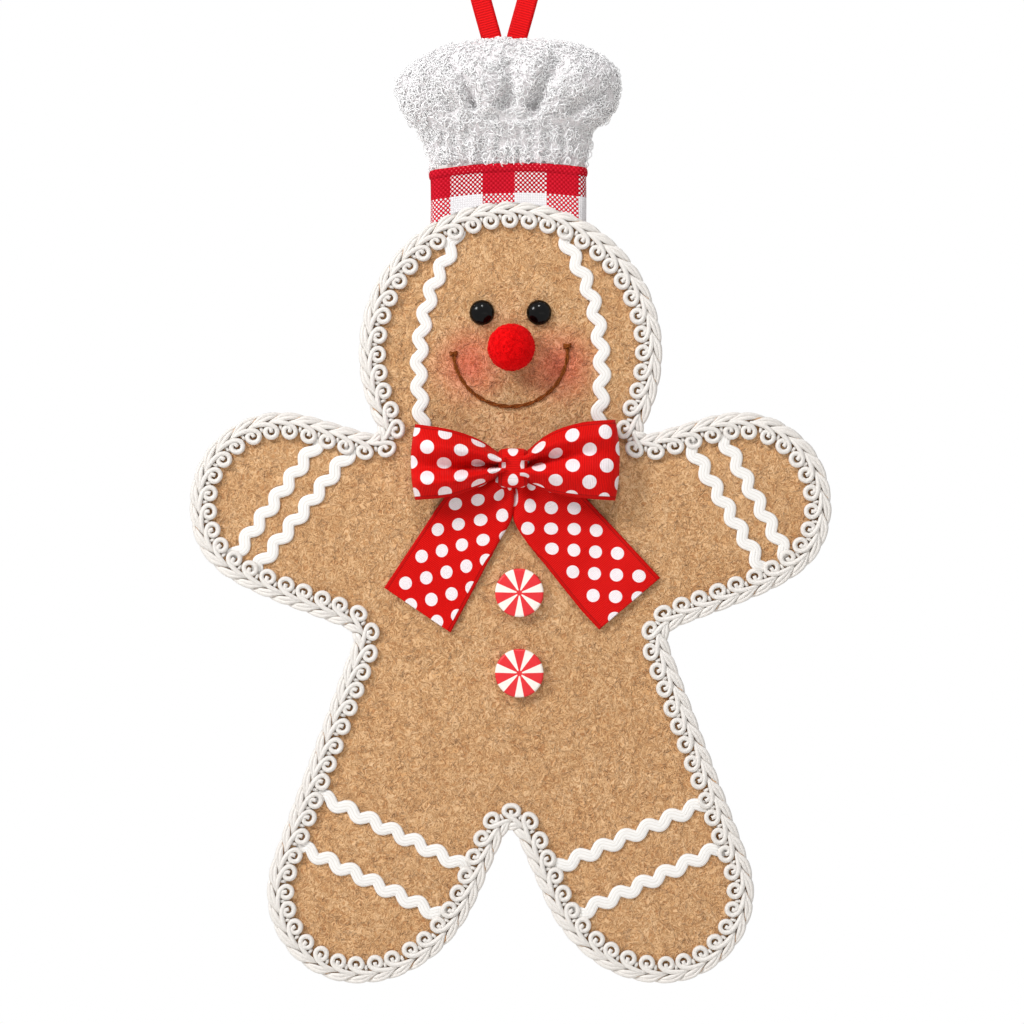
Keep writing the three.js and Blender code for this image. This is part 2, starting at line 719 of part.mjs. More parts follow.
// The front of a ring of the puff at a share of its half width, with its folds pressed in.
function puffFront(share, ring) {
  const round = (1 - Math.abs(share) ** PUFF_ROUNDNESS) ** (1 / PUFF_ROUNDNESS);
  const nearest = Math.min(...PUFF_FOLD_SHARES.map((fold) => Math.abs(fold - share)));
  const press = Math.max(0, 1 - nearest / PUFF_FOLD_REACH_SHARE);
  return PUFF_FRONT * ring.front * round - PUFF_FOLD_DEPTH * ring.fold * press;
}

function puffRing(ring) {
  const halfWidth = (PUFF_WIDTH / 2) * ring.width;
  const height = PUFF_BASE + PUFF_HEIGHT * ring.height;
  const stops = [-1, ...PUFF_FOLD_SHARES, 1];
  const points = [];
  for (let k = 0; k < stops.length - 1; k++) {
    for (let step = 0; step < PUFF_FOLD_STEPS; step++) {
      const share = THREE.MathUtils.lerp(stops[k], stops[k + 1], step / PUFF_FOLD_STEPS);
      const front = puffFront(share, ring);
      points.push(new THREE.Vector3(HAT_OUT + share * halfWidth, -front, height));
    }
  }
  points.push(new THREE.Vector3(HAT_OUT + halfWidth, 0, height));
  const back = Math.min(BACK, PUFF_FRONT * ring.front);
  for (const share of PUFF_BACK_SHARES) {
    points.push(new THREE.Vector3(HAT_OUT + share * halfWidth, back, height));
  }
  return points;
}

function hatPuff() {
  const puff = loft(PUFF_RING_SHARES.map(puffRing), false);
  const slot = new THREE.BoxGeometry(
    2 * (HANGER_STRAND_OUT + HANGER_WIDTH / 2 + CLEARANCE),
    HANGER_THICKNESS + 2 * CLEARANCE,
    2 * (HANGER_TUCK + CLEARANCE),
  );
  slot.translate(HANGER_OUT, HANGER_DEPTH, CROWN);
  return geometryOf(solidOf(puff).subtract(solidOf(slot)));
}

// The ribbon's two ends lie side by side in the puff and draw together where they are sewn.
function hangerEnds() {
  const wide = HANGER_STRAND_OUT + HANGER_WIDTH / 2;
  const narrow = HANGER_WIDTH;
  const outline = [
    new THREE.Vector2(HANGER_OUT - wide, EXIT - FLEX_GAP),
    new THREE.Vector2(HANGER_OUT + wide, EXIT - FLEX_GAP),
    new THREE.Vector2(HANGER_OUT + narrow, CROWN - HANGER_TUCK),
    new THREE.Vector2(HANGER_OUT - narrow, CROWN - HANGER_TUCK),
  ];
  const half = HANGER_THICKNESS / 2;
  return plate(outline, HANGER_DEPTH - half, HANGER_DEPTH + half);
}

// The free loop: face on where it leaves the hat, turned edge on over the arch.
function hanger() {
  const foot = [-HANGER_STRAND_OUT, FLEX_GAP - LOOP_LENGTH];
  const top = [0, HANGER_THICKNESS / 2];
  const climb = LOOP_ROUTE_SHARES.map(([out, up]) => [-out * LOOP_HALF_WIDTH, (up - 1) * LOOP_LENGTH]);
  const leftSide = [foot, ...climb];
  const rightSide = leftSide.map(([x, z]) => [-x, z]).reverse();
  const points = [...leftSide, top, ...rightSide].map(([x, z]) => new THREE.Vector2(x, z));
  const route = new THREE.SplineCurve(points);
  const sections = [];
  for (let k = 0; k <= HANGER_STEPS; k++) {
    const share = k / HANGER_STEPS;
    const fromEnd = Math.min(share, 1 - share);
    const twist = (THREE.MathUtils.smoothstep(fromEnd, TWIST_START_SHARE, TWIST_END_SHARE) * Math.PI) / 2;
    const at = route.getPointAt(share);
    const along = fromEnd > 0 ? route.getTangentAt(share) : new THREE.Vector2(0, share < 0.5 ? 1 : -1);
    const aside = new THREE.Vector3(along.y, 0, -along.x);
    const width = aside.multiplyScalar(Math.cos(twist)).setY(Math.sin(twist));
    const face = new THREE.Vector3(along.x, 0, along.y).cross(width);
    const corner = (across, out) =>
      new THREE.Vector3(at.x, 0, at.y)
        .addScaledVector(width, (across * HANGER_WIDTH) / 2)
        .addScaledVector(face, (out * HANGER_THICKNESS) / 2);
    sections.push([corner(1, 1), corner(-1, 1), corner(-1, -1), corner(1, -1)]);
  }
  return loft(sections, false);
}

function at(mesh, x, y, z) {
  mesh.position.set(x, y, z);
  return mesh;
}

function bodyPieces() {
  return [
    named("foam_core", foamCore(), "foam"),
    named("front_felt", frontFelt(), "felt"),
    named("back_felt", backFelt(), "felt"),
    named("scroll_gimp_trim", scrollGimp(), "gimp"),
  ];
}

function icingPieces() {
  const arms = ARM_STRIPS.map((strip) =>
    named(strip.name, limbStrip(strip, HAND, HAND_RADIUS), "rickrack"),
  );
  const legs = LEG_STRIPS.map((strip) =>
    named(strip.name, limbStrip(strip, FOOT, FOOT_RADIUS), "rickrack"),
  );
  return [
    named("rickrack_head_left", headStrip(-1), "rickrack"),
    named("rickrack_head_right", headStrip(1), "rickrack"),
    ...arms,
    ...legs,
  ];
}

function facePieces() {
  const eyeOut = HEAD_RADIUS * EYE_CENTRE_SHARES.out;
  const eyeUp = HEAD_RADIUS * EYE_CENTRE_SHARES.up;
  const noseOut = HEAD_RADIUS * NOSE_CENTRE_SHARES.out;
  const noseUp = HEAD_RADIUS * NOSE_CENTRE_SHARES.up;
  return [
    at(named("eye_left", eye(), "eye"), -eyeOut, ON_FELT, eyeUp),
    at(named("eye_right", eye(), "eye"), eyeOut, ON_FELT, eyeUp),
    at(named("nose_ball", noseBall(), "noseFelt"), noseOut, ON_FELT, noseUp),
    named("smile_thread", smileThread(), "smileThread"),
    named("smile_tack_left", smileTack(-1), "smileThread"),
    named("smile_tack_right", smileTack(1), "smileThread"),
  ];
}

function bowPieces() {
  const tails = TAILS.flatMap((tail) => [
    named(`bow_tail_${tail.side}_root`, tailRoot(tail), "dottedRibbon"),
    named(`bow_tail_${tail.side}_end`, tailEnd(tail), "dottedRibbon"),
  ]);
  return [
    named("bow_loop_left", bowLoop(-1), "dottedRibbon"),
    named("bow_loop_right", bowLoop(1), "dottedRibbon"),
    named("bow_knot", bowKnot(), "dottedRibbon"),
    ...tails,
  ];
}

function buttonPieces() {
  const upperHeight = NECK.y - BUTTON_UPPER_DROP;
  const upper = named("button_upper", peppermintButton(), "peppermint");
  const lower = named("button_lower", peppermintButton(), "peppermint");
  return [
    at(upper, BUTTON_OUT, ON_FELT, upperHeight),
    at(lower, BUTTON_OUT, ON_FELT, upperHeight - BUTTON_PITCH),
  ];
}

function hatPieces() {
  return [
    named("hat_band", hatBand(), "gingham"),
    named("hat_filling", hatFilling(), "wadding"),
    named("hat_puff", hatPuff(), "fleece"),
    named("hanging_ribbon_ends", hangerEnds(), "hangingRibbon"),
  ];
}

// The figure hangs from the point where its ribbon leaves the hat.
const figure = new THREE.Group();
figure.position.set(-HANGER_OUT, -HANGER_DEPTH, -(EXIT + LOOP_LENGTH));
figure.add(
  ...bodyPieces(),
  ...icingPieces(),
  ...facePieces(),
  ...bowPieces(),
  ...buttonPieces(),
  ...hatPieces(),
);

const ornament = new THREE.Group();
ornament.add(named("hanging_ribbon", hanger(), "hangingRibbon"), figure);

export default ornament;
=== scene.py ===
# Gingerbread man ornament: a flat felt-covered figure edged with scroll gimp, with rickrack icing, a
# dotted ribbon bow, two peppermint buttons, a gathered white hat and a ribbon loop to hang it by. Shapes
# are worked out in millimetres, in the model's own frame, and are scaled to metres as they are finished.

import bisect
import math
import random

import bmesh
import bpy
from mathutils import Matrix, Vector, noise


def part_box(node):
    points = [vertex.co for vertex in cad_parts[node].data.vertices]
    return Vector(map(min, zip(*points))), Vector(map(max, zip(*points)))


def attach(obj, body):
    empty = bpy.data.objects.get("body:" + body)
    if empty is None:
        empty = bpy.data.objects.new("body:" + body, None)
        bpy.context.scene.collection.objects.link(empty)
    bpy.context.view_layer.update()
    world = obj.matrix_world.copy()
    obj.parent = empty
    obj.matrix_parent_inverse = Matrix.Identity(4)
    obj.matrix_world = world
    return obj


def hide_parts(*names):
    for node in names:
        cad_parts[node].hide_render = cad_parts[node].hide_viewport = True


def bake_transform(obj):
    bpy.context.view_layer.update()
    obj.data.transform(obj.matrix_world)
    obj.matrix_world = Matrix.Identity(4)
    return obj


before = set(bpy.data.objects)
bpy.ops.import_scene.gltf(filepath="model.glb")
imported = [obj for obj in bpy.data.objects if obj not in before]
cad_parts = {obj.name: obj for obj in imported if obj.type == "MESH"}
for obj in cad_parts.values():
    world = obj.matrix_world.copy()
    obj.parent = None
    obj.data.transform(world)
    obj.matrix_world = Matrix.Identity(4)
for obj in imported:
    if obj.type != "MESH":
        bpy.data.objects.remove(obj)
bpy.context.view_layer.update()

MM = 0.001


# Camera: it stands straight in front of the felt, level with the chest, as the photograph's does. Its
# distance gives each pixel of the picture the size that it has on the felt.

PICTURE = 1024
PIXEL = 0.3175
LENS = 135
SENSOR = 36
HEAD_IN_PICTURE = (510.5, 352.7)
HEAD_RADIUS = 48.4
GIMP_PROUD = 1.25

back_low, back_high = (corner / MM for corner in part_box("back_felt"))
FELT_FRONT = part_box("front_felt")[0].y / MM
HEAD = Vector(((back_low.x + back_high.x) / 2, FELT_FRONT, back_high.z + GIMP_PROUD - HEAD_RADIUS))


def stand(name, data):
    """A new object in the scene that holds a camera, a lamp or a mesh."""
    holder = bpy.data.objects.new(name, data)
    bpy.context.collection.objects.link(holder)
    return holder


camera = stand("camera", bpy.data.cameras.new("camera"))
bpy.context.scene.camera = camera
camera.data.lens = LENS
camera.data.sensor_width = SENSOR
camera.rotation_euler = (math.pi / 2, 0, 0)
camera.location = MM * Vector((
    HEAD.x + (PICTURE / 2 - HEAD_IN_PICTURE[0]) * PIXEL,
    HEAD.y - PICTURE * PIXEL * LENS / SENSOR,
    HEAD.z + (HEAD_IN_PICTURE[1] - PICTURE / 2) * PIXEL,
))


# Studio: a soft lamp to the left, a smaller one above, weak fills, an even pale world and a white floor
# that fades into it. The background is white to the camera and in reflections only.

WORLD_LIGHT = 0.31
LAMPS = {
    "key": ((-1.1, -1.0, 0.9), 0.46, 18.2),
    "top": ((0.0, -1.0, 1.25), 0.26, 8),
    "fill": ((0.5, -1.3, -0.7), 1.9, 4),
    "back_fill": ((0.5, 1.3, 0.9), 0.6, 11),
}
FLOOR_DROP = 0.5
FLOOR_SIZE = 12
FLOOR_CLEAR = 0.25
FLOOR_WHITE = 0.62
FLOOR_GLOW = 0.72


def colour(code):
    """An sRGB hex colour as the linear one that sockets hold."""
    channels = [int(code[i : i + 2], 16) / 255 for i in (1, 3, 5)]
    return (*(c / 12.92 if c <= 0.04045 else ((c + 0.055) / 1.055) ** 2.4 for c in channels), 1)


def add(tree, kind, inputs=(), output=0, **settings):
    """A new shader node with its settings. Its inputs are values or links, in order, or by name or number
    in a dictionary. Returned as one of its outputs, or as all of them where the output is None."""
    node = tree.nodes.new("ShaderNode" + kind)
    for name, value in settings.items():
        setattr(node, name, value)
    for name, value in inputs.items() if isinstance(inputs, dict) else enumerate(inputs):
        if isinstance(value, bpy.types.NodeSocket):
            tree.links.new(value, node.inputs[name])
        else:
            node.inputs[name].default_value = value
    return node.outputs if output is None else node.outputs[output]


def seen_share(tree):
    """1 on rays from the camera, a mirror or glass, and 0 on the light that falls on things."""
    path = add(tree, "LightPath", output=None)
    straight = add(tree, "Math", (path["Is Camera Ray"], path["Is Glossy Ray"]), operation="MAXIMUM")
    return add(tree, "Math", (straight, path["Is Transmission Ray"]), operation="MAXIMUM")


WHITE = colour("#FFFFFF")
world = bpy.data.worlds.new("studio")
bpy.context.scene.world = world
world.use_nodes = True
sky = world.node_tree
sky.nodes.clear()
lit = add(sky, "Background", {"Color": WHITE, "Strength": WORLD_LIGHT})
seen = add(sky, "Background", {"Color": WHITE, "Strength": 1.0})
both = add(sky, "MixShader", (seen_share(sky), lit, seen))
add(sky, "OutputWorld", {"Surface": both}, None)

CHEST = Vector((HEAD.x, HEAD.y, HEAD.z - HEAD_RADIUS)) * MM
for name, (offset, size, watts) in LAMPS.items():
    light = bpy.data.lights.new(name, "AREA")
    light.shape = "DISK"
    light.size = size
    light.energy = watts
    holder = stand(name, light)
    holder.location = CHEST + Vector(offset)
    holder.rotation_euler = (CHEST - holder.location).to_track_quat("-Z", "Y").to_euler()

# Matte white paper takes the soft shadow of the figure, and glows plain white further out.
floor_paper = bpy.data.materials.new("matte_white_paper")
floor_paper.use_nodes = True
paper = floor_paper.node_tree
paper.nodes.clear()
reach = add(paper, "VectorMath", (add(paper, "TexCoord", output="Object"),), "Value", operation="LENGTH")
fade_stops = (reach, FLOOR_CLEAR, FLOOR_WHITE, FLOOR_GLOW, 1.0)
fade = add(paper, "MapRange", fade_stops, interpolation_type="SMOOTHSTEP")
share = add(paper, "Math", (fade, seen_share(paper)), operation="MULTIPLY")
matte = add(paper, "BsdfDiffuse", {"Color": colour("#F2F1EF")})
glow = add(paper, "Emission", {"Color": WHITE, "Strength": 1.0})
add(paper, "OutputMaterial", {"Surface": add(paper, "MixShader", (share, matte, glow))}, None)

floor_shape = bmesh.new()
bmesh.ops.create_grid(floor_shape, x_segments=1, y_segments=1, size=FLOOR_SIZE / 2)
floor_mesh = bpy.data.meshes.new("floor")
floor_shape.to_mesh(floor_mesh)
floor_mesh.materials.append(floor_paper)
floor = stand("floor", floor_mesh)
floor.location = (0, 0, -FLOOR_DROP)

view_settings = bpy.context.scene.view_settings
view_settings.view_transform = "Standard"


# Hanging ribbon: one strip of 6.5 mm grosgrain with plain edges. Its loop is free above the hat, face on
# where it leaves the puff and edge on over the arch, and its ends are sewn inside the puff.

STRAP_WIDTH = 6.5
STRAP_THICKNESS = 0.5
STRAP_RIB = 0.8
STRAP_EDGE = 0.9
STRAP_LIGHT = "#EC1216"
STRAP_DARK = "#BC060C"
STRAP_STEPS = 150
STRAND_OUT = 4
FLEX_GAP = 0.4
LOOP_LENGTH = 95
LOOP_HALF_WIDTH = 16.4
LOOP_TOP = 0.3
LOOP_ROUTE_SHARES = [(0.44, 0.126), (0.76, 0.337), (1, 0.579), (0.93, 0.789), (0.525, 0.947)]
TWIST_START_SHARE = 0.1
TWIST_END_SHARE = 0.36


def patch(steps, size, place):
    """A grid of steps (along, across), each vertex moved by place(u, v) with u and v from 0 to 1. Its size
    (along, across) in millimetres, laid flat, is kept in its UVs."""
    shape = bmesh.new()
    flat = shape.loops.layers.uv.new("UVMap")
    bmesh.ops.create_grid(shape, x_segments=steps[0], y_segments=steps[1], size=0.5)
    for face in shape.faces:
        for loop in face.loops:
            loop[flat].uv = ((loop.vert.co.x + 0.5) * size[0], (loop.vert.co.y + 0.5) * size[1])
    for vert in shape.verts:
        vert.co = place(vert.co.x + 0.5, vert.co.y + 0.5)
    return shape


def piece(name, shape, finish, replaced=(), body="figure"):
    """A finished piece from a shape in millimetres, attached to its body where one is given."""
    shape.transform(Matrix.Scale(MM, 4))
    mesh = bpy.data.meshes.new(name)
    shape.to_mesh(mesh)
    shape.free()
    mesh.shade_smooth()
    mesh.materials.append(finish)
    made = stand(name, mesh)
    if body:
        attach(made, body)
    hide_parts(*replaced)
    return made


def thicken(made, thickness):
    """Gives a sheet its thickness, about its middle."""
    wall = made.modifiers.new("thickness", "SOLIDIFY")
    wall.thickness = thickness * MM
    wall.offset = 0


def dress_solid(node, finish):
    """Gives a finish to one of the part's own solids, which stays in the scene as it is."""
    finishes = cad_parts[node].data.materials
    finishes.clear()
    finishes.append(finish)


def smoothstep(value, low, high):
    share = min(max((value - low) / (high - low), 0), 1)
    return share * share * (3 - 2 * share)


def catmull_rom(points, share):
    """The point at a share of the way along a smooth curve through the points."""
    spans = len(points) - 1
    span = min(int(share * spans), spans - 1)
    part = share * spans - span
    before, start, end, after = (points[min(max(span + i, 0), spans)] for i in (-1, 0, 1, 2))
    if span == 0:
        before = start * 2 - end
    if span == spans - 1:
        after = end * 2 - start
    bend = before * -1 + start * 3 - end * 3 + after
    slope = before * 2 - start * 5 + end * 4 - after
    return start + ((end - before) + (slope + bend * part) * part) * (part / 2)


def even_shares(points, steps):
    """Where evenly spaced places lie on a line of points, as shares of its points, and its length."""
    reached = [0]
    for before, after in zip(points, points[1:]):
        reached.append(reached[-1] + (after - before).length)
    shares = []
    for k in range(steps + 1):
        goal = reached[-1] * k / steps
        i = min(max(bisect.bisect_left(reached, goal), 1), len(points) - 1)
        part = (goal - reached[i - 1]) / (reached[i] - reached[i - 1])
        shares.append((i - 1 + part) / (len(points) - 1))
    return shares, reached[-1]


def evenly(points, steps):
    """Points spaced evenly along a smooth curve through the points, and the curve's length."""
    fine = [catmull_rom(points, k / (steps * 4)) for k in range(steps * 4 + 1)]
    shares, length = even_shares(fine, steps)
    return [catmull_rom(points, share) for share in shares], length


hinge_height = -LOOP_LENGTH
left_side = [Vector((-STRAND_OUT, 0, hinge_height + way * FLEX_GAP)) for way in (-1, 1)]
left_side += [Vector((-out * LOOP_HALF_WIDTH, 0, (up - 1) * LOOP_LENGTH)) for out, up in LOOP_ROUTE_SHARES]
right_side = [Vector((-point.x, 0, point.z)) for point in reversed(left_side)]
strap_line, strap_length = evenly(left_side + [Vector((0, 0, LOOP_TOP))] + right_side, STRAP_STEPS)


def on_strap(u, v):
    i = round(u * STRAP_STEPS)
    along = (strap_line[min(i + 1, STRAP_STEPS)] - strap_line[max(i - 1, 0)]).normalized()
    twist = smoothstep(min(u, 1 - u), TWIST_START_SHARE, TWIST_END_SHARE) * math.pi / 2
    aside = Vector((along.z, 0, -along.x)) * math.cos(twist) + Vector((0, math.sin(twist), 0))
    return strap_line[i] + aside * ((v - 0.5) * STRAP_WIDTH)


def material(name, **constants):
    """A new material with the settings that are the same all over it, and its node tree."""
    made = bpy.data.materials.new(name)
    made.use_nodes = True
    shader = made.node_tree.nodes["Principled BSDF"]
    for word, value in constants.items():
        shader.inputs[word.replace("_", " ").title().replace("Ior", "IOR")].default_value = value
    return made, made.node_tree


def dress(tree, base, height=None, strength=0.0, depth=0.0, under=None):
    """Links a material's base colour and, where there is a height, its relief, with a depth in millimetres.
    The relief lies on a coarser or finer one under it, where that is given."""
    shader = tree.nodes["Principled BSDF"].inputs
    tree.links.new(base, shader["Base Color"])
    if height:
        bump = add(tree, "Bump", {"Height": height, "Strength": strength, "Distance": depth * MM})
        tree.links.new(bump, shader["Normal"])
        if under:
            tree.links.new(under, bump.node.inputs["Normal"])


def wave(tree, axis, pitch, operation="SINE"):
    """A sine or cosine wave along an axis, with the pitch in the axis's own measure."""
    turns = add(tree, "Math", (axis, 2 * math.pi / pitch), operation="MULTIPLY")
    return add(tree, "Math", (turns,), operation=operation)


def grosgrain(name, light, dark, rib, edge, width):
    """Ribbed ribbon: polyester, with a rib across it at each weft and a plain woven edge on both sides. UVs
    hold millimetres. Each rib is painted as light and shade across the ribbon: lighter on its crest and
    darker in the hollow beside it, over a random thread tone."""
    made, tree = material(name, roughness=0.55, sheen_weight=0.02, specular_ior_level=0.08)
    uv = add(tree, "UVMap", uv_map="UVMap")
    along, across, _ = add(tree, "SeparateXYZ", (uv,), None)
    ribs = add(tree, "MapRange", (wave(tree, along, rib), -1.0, 1.0))
    centred = add(tree, "Math", (across, width / 2), operation="SUBTRACT")
    out = add(tree, "Math", (centred,), operation="ABSOLUTE")
    field = add(tree, "MapRange", (out, width / 2 - edge, width / 2 - edge * 0.7, 1.0, 0.15))
    relief = add(tree, "Math", (ribs, field), operation="MULTIPLY")
    threads = add(tree, "TexNoise", {"Vector": uv, "Scale": 2.2, "Detail": 3.0})
    height = add(tree, "Math", (threads, 0.35, relief), operation="MULTIPLY_ADD")
    # Painted light and shade: the colour follows the rib's height, lighter on its crest and darker in the
    # hollow.
    tone = add(tree, "MapRange", (height, 0.05, 0.85))
    threads_and_rib_shade = add(tree, "Mix", {0: tone, 6: colour(dark), 7: colour(light)}, 2, data_type="RGBA")
    dress(tree, threads_and_rib_shade, height, 0.8, 0.12)
    return made


red_grosgrain = grosgrain(
    "red_grosgrain_ribbon", STRAP_LIGHT, STRAP_DARK, STRAP_RIB, STRAP_EDGE, STRAP_WIDTH
)
strap = patch((STRAP_STEPS, 8), (strap_length, STRAP_WIDTH), on_strap)
hanging_loop = piece("hanging_loop", strap, red_grosgrain, ["hanging_ribbon"], None)
thicken(hanging_loop, STRAP_THICKNESS)
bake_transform(hanging_loop)
[point * MM for point in strap_line]

# The ends are the same woven polyester: dull red inside the puff, with painted shade as darker lines along
# the weft.
sewn_ends, tree = material("red_grosgrain_ends", roughness=0.6, specular_ior_level=0.16)
up = add(tree, "SeparateXYZ", (add(tree, "TexCoord", output="Object"),), "Z")
ribs = add(tree, "MapRange", (wave(tree, up, STRAP_RIB * MM), -1.0, 1.0))
dress(tree, add(tree, "Mix", {0: ribs, 6: colour(STRAP_DARK), 7: colour(STRAP_LIGHT)}, 2, data_type="RGBA"))
dress_solid("hanging_ribbon_ends", sewn_ends)


# Felt body: a front sheet of plush felt turned down over a foam core, and a back sheet glued behind it.
# Short curly fibres lie in all directions, with painted light on those that stand up and painted shade
# between them. Blush is rubbed into the cheeks.

RIM_STEP = 0.5
RIM_SMOOTHING = 34
ROW_DEPTH = 5
NORMAL_REACH = 3
FELT_THICKNESS = 1.2
FELT_ROUND = 0.9
BACK_FELT_THICKNESS = 1.5
BACK_FELT_ROUND = 0.5
GLUE_FILM = 0.1
FELT_TONES = ("#AE784E", "#D9A774", "#FFE0B8")
NAP_LIT_TONES = ("#C08E5E", "#DDB285", "#F0CFA6")
FIBRE_LIGHT = [(0.0, 0.0), (0.7, 7.3), (1.3, 15.1), (2.0, 31.7), (2.6, 47.9)]
FIBRE_DARK = [(0.4, 23.9), (1.7, 41.3)]
FIBRE_DRAW = (0.24, 1.8, 2.7)
FIBRE_CURL = 5.0
CHEEKS = [(-13.2, -4.0), (15.6, -4.2)]
CHEEK_RADIUS = 14.5
CHEEK_RAGGED = 5.0
NAP_COUNT = 5000
NAP_LENGTH = 2.6
NAP_RADIUS = 0.1
NAP_RISE = 0.3
FOAM_CELL = 0.6


def back_corners():
    """Corners of the back felt's outline, clockwise as seen from the front, from the top of the head."""
    felt = bmesh.new()
    felt.from_mesh(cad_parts["back_felt"].data)
    bmesh.ops.remove_doubles(felt, verts=felt.verts, dist=0.01 * MM)
    level = back_high.y * MM - 0.1 * MM
    rim = [e for e in felt.edges if min(v.co.y for v in e.verts) > level and e.calc_face_angle(0) > 1]
    joined = {}
    for edge in rim:
        first, second = edge.verts
        joined.setdefault(first, []).append(second)
        joined.setdefault(second, []).append(first)
    here = max(joined, key=lambda vert: vert.co.z)
    before = min(joined[here], key=lambda vert: vert.co.x)
    corners = []
    while not corners or here.co != corners[0]:
        corners.append(here.co.copy())
        after = next(vert for vert in joined[here] if vert != before)
        before, here = here, after
    felt.free()
    return [Vector((corner.x, 0, corner.z)) / MM for corner in corners]


def rim_samples(corners):
    """The outline as close, evenly spaced points, with its flat facets rounded off."""
    samples = []
    for start, end in zip(corners, corners[1:] + corners[:1]):
        steps = max(1, round((end - start).length / RIM_STEP))
        samples += [start.lerp(end, k / steps) for k in range(steps)]
    for _ in range(RIM_SMOOTHING):
        samples = [
            (samples[i - 1] + samples[i] * 2 + samples[(i + 1) % len(samples)]) / 4
            for i in range(len(samples))
        ]
    return samples


rim = rim_samples(back_corners())
rim_count = len(rim)
rim_inward = []
for i in range(rim_count):
    ahead = rim[(i + NORMAL_REACH) % rim_count] - rim[i - NORMAL_REACH]
    rim_inward.append(Vector((ahead.z, 0, -ahead.x)).normalized())
row_reached = [0]
for i in range(rim_count):
    here = rim[i] + rim_inward[i] * (ROW_DEPTH - GIMP_PROUD)
    ahead = rim[(i + 1) % rim_count] + rim_inward[(i + 1) % rim_count] * (ROW_DEPTH - GIMP_PROUD)
    row_reached.append(row_reached[-1] + (ahead - here).length)
ROW_LENGTH = row_reached[-1]


def on_felt(x, z, height=0):
    """A point in front of the felt, measured from the centre of the head."""
    return Vector((HEAD.x + x, FELT_FRONT - height, HEAD.z + z))


def closed(shape):
    """Joins the seams of a shape whose ends meet, caps its open ends and turns its faces outwards."""
    bmesh.ops.remove_doubles(shape, verts=shape.verts, dist=0.001)
    bmesh.ops.holes_fill(shape, edges=[edge for edge in shape.edges if edge.is_boundary], sides=0)
    bmesh.ops.triangulate(shape, faces=[face for face in shape.faces if len(face.verts) > 4])
    bmesh.ops.recalc_face_normals(shape, faces=shape.faces)
    return shape


def rim_plate(profile):
    """A closed plate with the figure's outline. Its edge follows the profile's (inward, height) points."""
    def place(u, v):
        inward, height = profile[round(v * (len(profile) - 1))]
        i = round(u * rim_count) % rim_count
        spot = rim[i] + rim_inward[i] * (inward - GIMP_PROUD)
        return Vector((spot.x, FELT_FRONT - height, spot.z))

    return closed(patch((rim_count, len(profile) - 1), (ROW_LENGTH, len(profile)), place))


def rounded_edge(front, back, radius, steps=4):
    """Profile of a felt sheet's edge: rounded over the front, and square at the back."""
    turns = [k / steps * math.pi / 2 for k in range(steps + 1)]
    corner = [(GIMP_PROUD + radius * (1 - math.sin(a)), front - radius * (1 - math.cos(a))) for a in turns]
    return corner + [(GIMP_PROUD, back)]


def plush_felt(name, blushing, tones):
    """Acrylic craft felt: dull, with a mat of fine curled fibres over a random tone. The lighter ones are
    raised and painted light, and the darker ones are sunk and painted shade. They are drawn about 0.3 mm
    wide, which is coarser than real ones, so that they show."""
    made, tree = material(name, roughness=0.95, sheen_weight=0.08, specular_ior_level=0.08)
    place = add(tree, "TexCoord", output="Object")
    mm = add(tree, "VectorMath", (place, (1 / MM,) * 3), operation="MULTIPLY")
    drift = add(tree, "TexNoise", {"Vector": mm, "Scale": 0.34, "Detail": 1.0}, "Color")
    pull = add(tree, "VectorMath", (drift, (0.5,) * 3), operation="SUBTRACT")
    curled = add(tree, "VectorMath", (pull, (FIBRE_CURL,) * 3, mm), operation="MULTIPLY_ADD")
    mats = []
    for layers in (FIBRE_LIGHT, FIBRE_DARK):
        strands = 0.0
        for turn, offset in layers:
            laid = {"Vector": curled, "Rotation": (0, turn, 0), "Location": (offset,) * 3}
            drawn = {"Vector": add(tree, "Mapping", laid), "Scale": FIBRE_DRAW}
            streak = {"Vector": add(tree, "Mapping", drawn), "Scale": 1.0, "Detail": 0.0}
            line = add(tree, "MapRange", (add(tree, "TexNoise", streak), 0.56, 0.68))
            strands = add(tree, "Math", (line, strands), operation="MAXIMUM")
        mats.append(strands)
    light, dark = mats
    patches = add(tree, "TexNoise", {"Vector": mm, "Scale": 0.16, "Detail": 3.0})
    mottle = add(tree, "MapRange", (patches, 0.3, 0.7, 0.15, 0.27))
    # Painted light on the raised fibres and painted shade on the sunk ones, over the random mottle.
    raised = add(tree, "Math", (light, 0.4, mottle), operation="MULTIPLY_ADD")
    tone = add(tree, "Math", (dark, -0.12, raised), operation="MULTIPLY_ADD")
    base = add(tree, "ValToRGB", (tone,))
    stops = base.node.color_ramp.elements
    stops[0].color = colour(tones[0])
    stops[1].color = colour(tones[2])
    stops.new(0.45).color = colour(tones[1])
    for x, z in CHEEKS if blushing else ():
        reach = add(tree, "VectorMath", (mm, on_felt(x, z)), "Value", operation="DISTANCE")
        ragged = add(tree, "Math", (patches, CHEEK_RAGGED, reach), operation="MULTIPLY_ADD")
        fading = (ragged, 2.0, CHEEK_RADIUS + CHEEK_RAGGED, 1.0, 0.0)
        rubbed = add(tree, "MapRange", fading, interpolation_type="SMOOTHSTEP")
        ink = {0: rubbed, 6: base, 7: colour("#FFB4BE")}
        base = add(tree, "Mix", ink, 2, data_type="RGBA", blend_type="MULTIPLY")
    relief = add(tree, "Math", (light, dark), operation="SUBTRACT")
    fibres = add(tree, "Bump", {"Height": relief, "Strength": 0.7, "Distance": 0.25 * MM})
    dress(tree, base, patches, 0.4, 0.8, fibres)
    return made


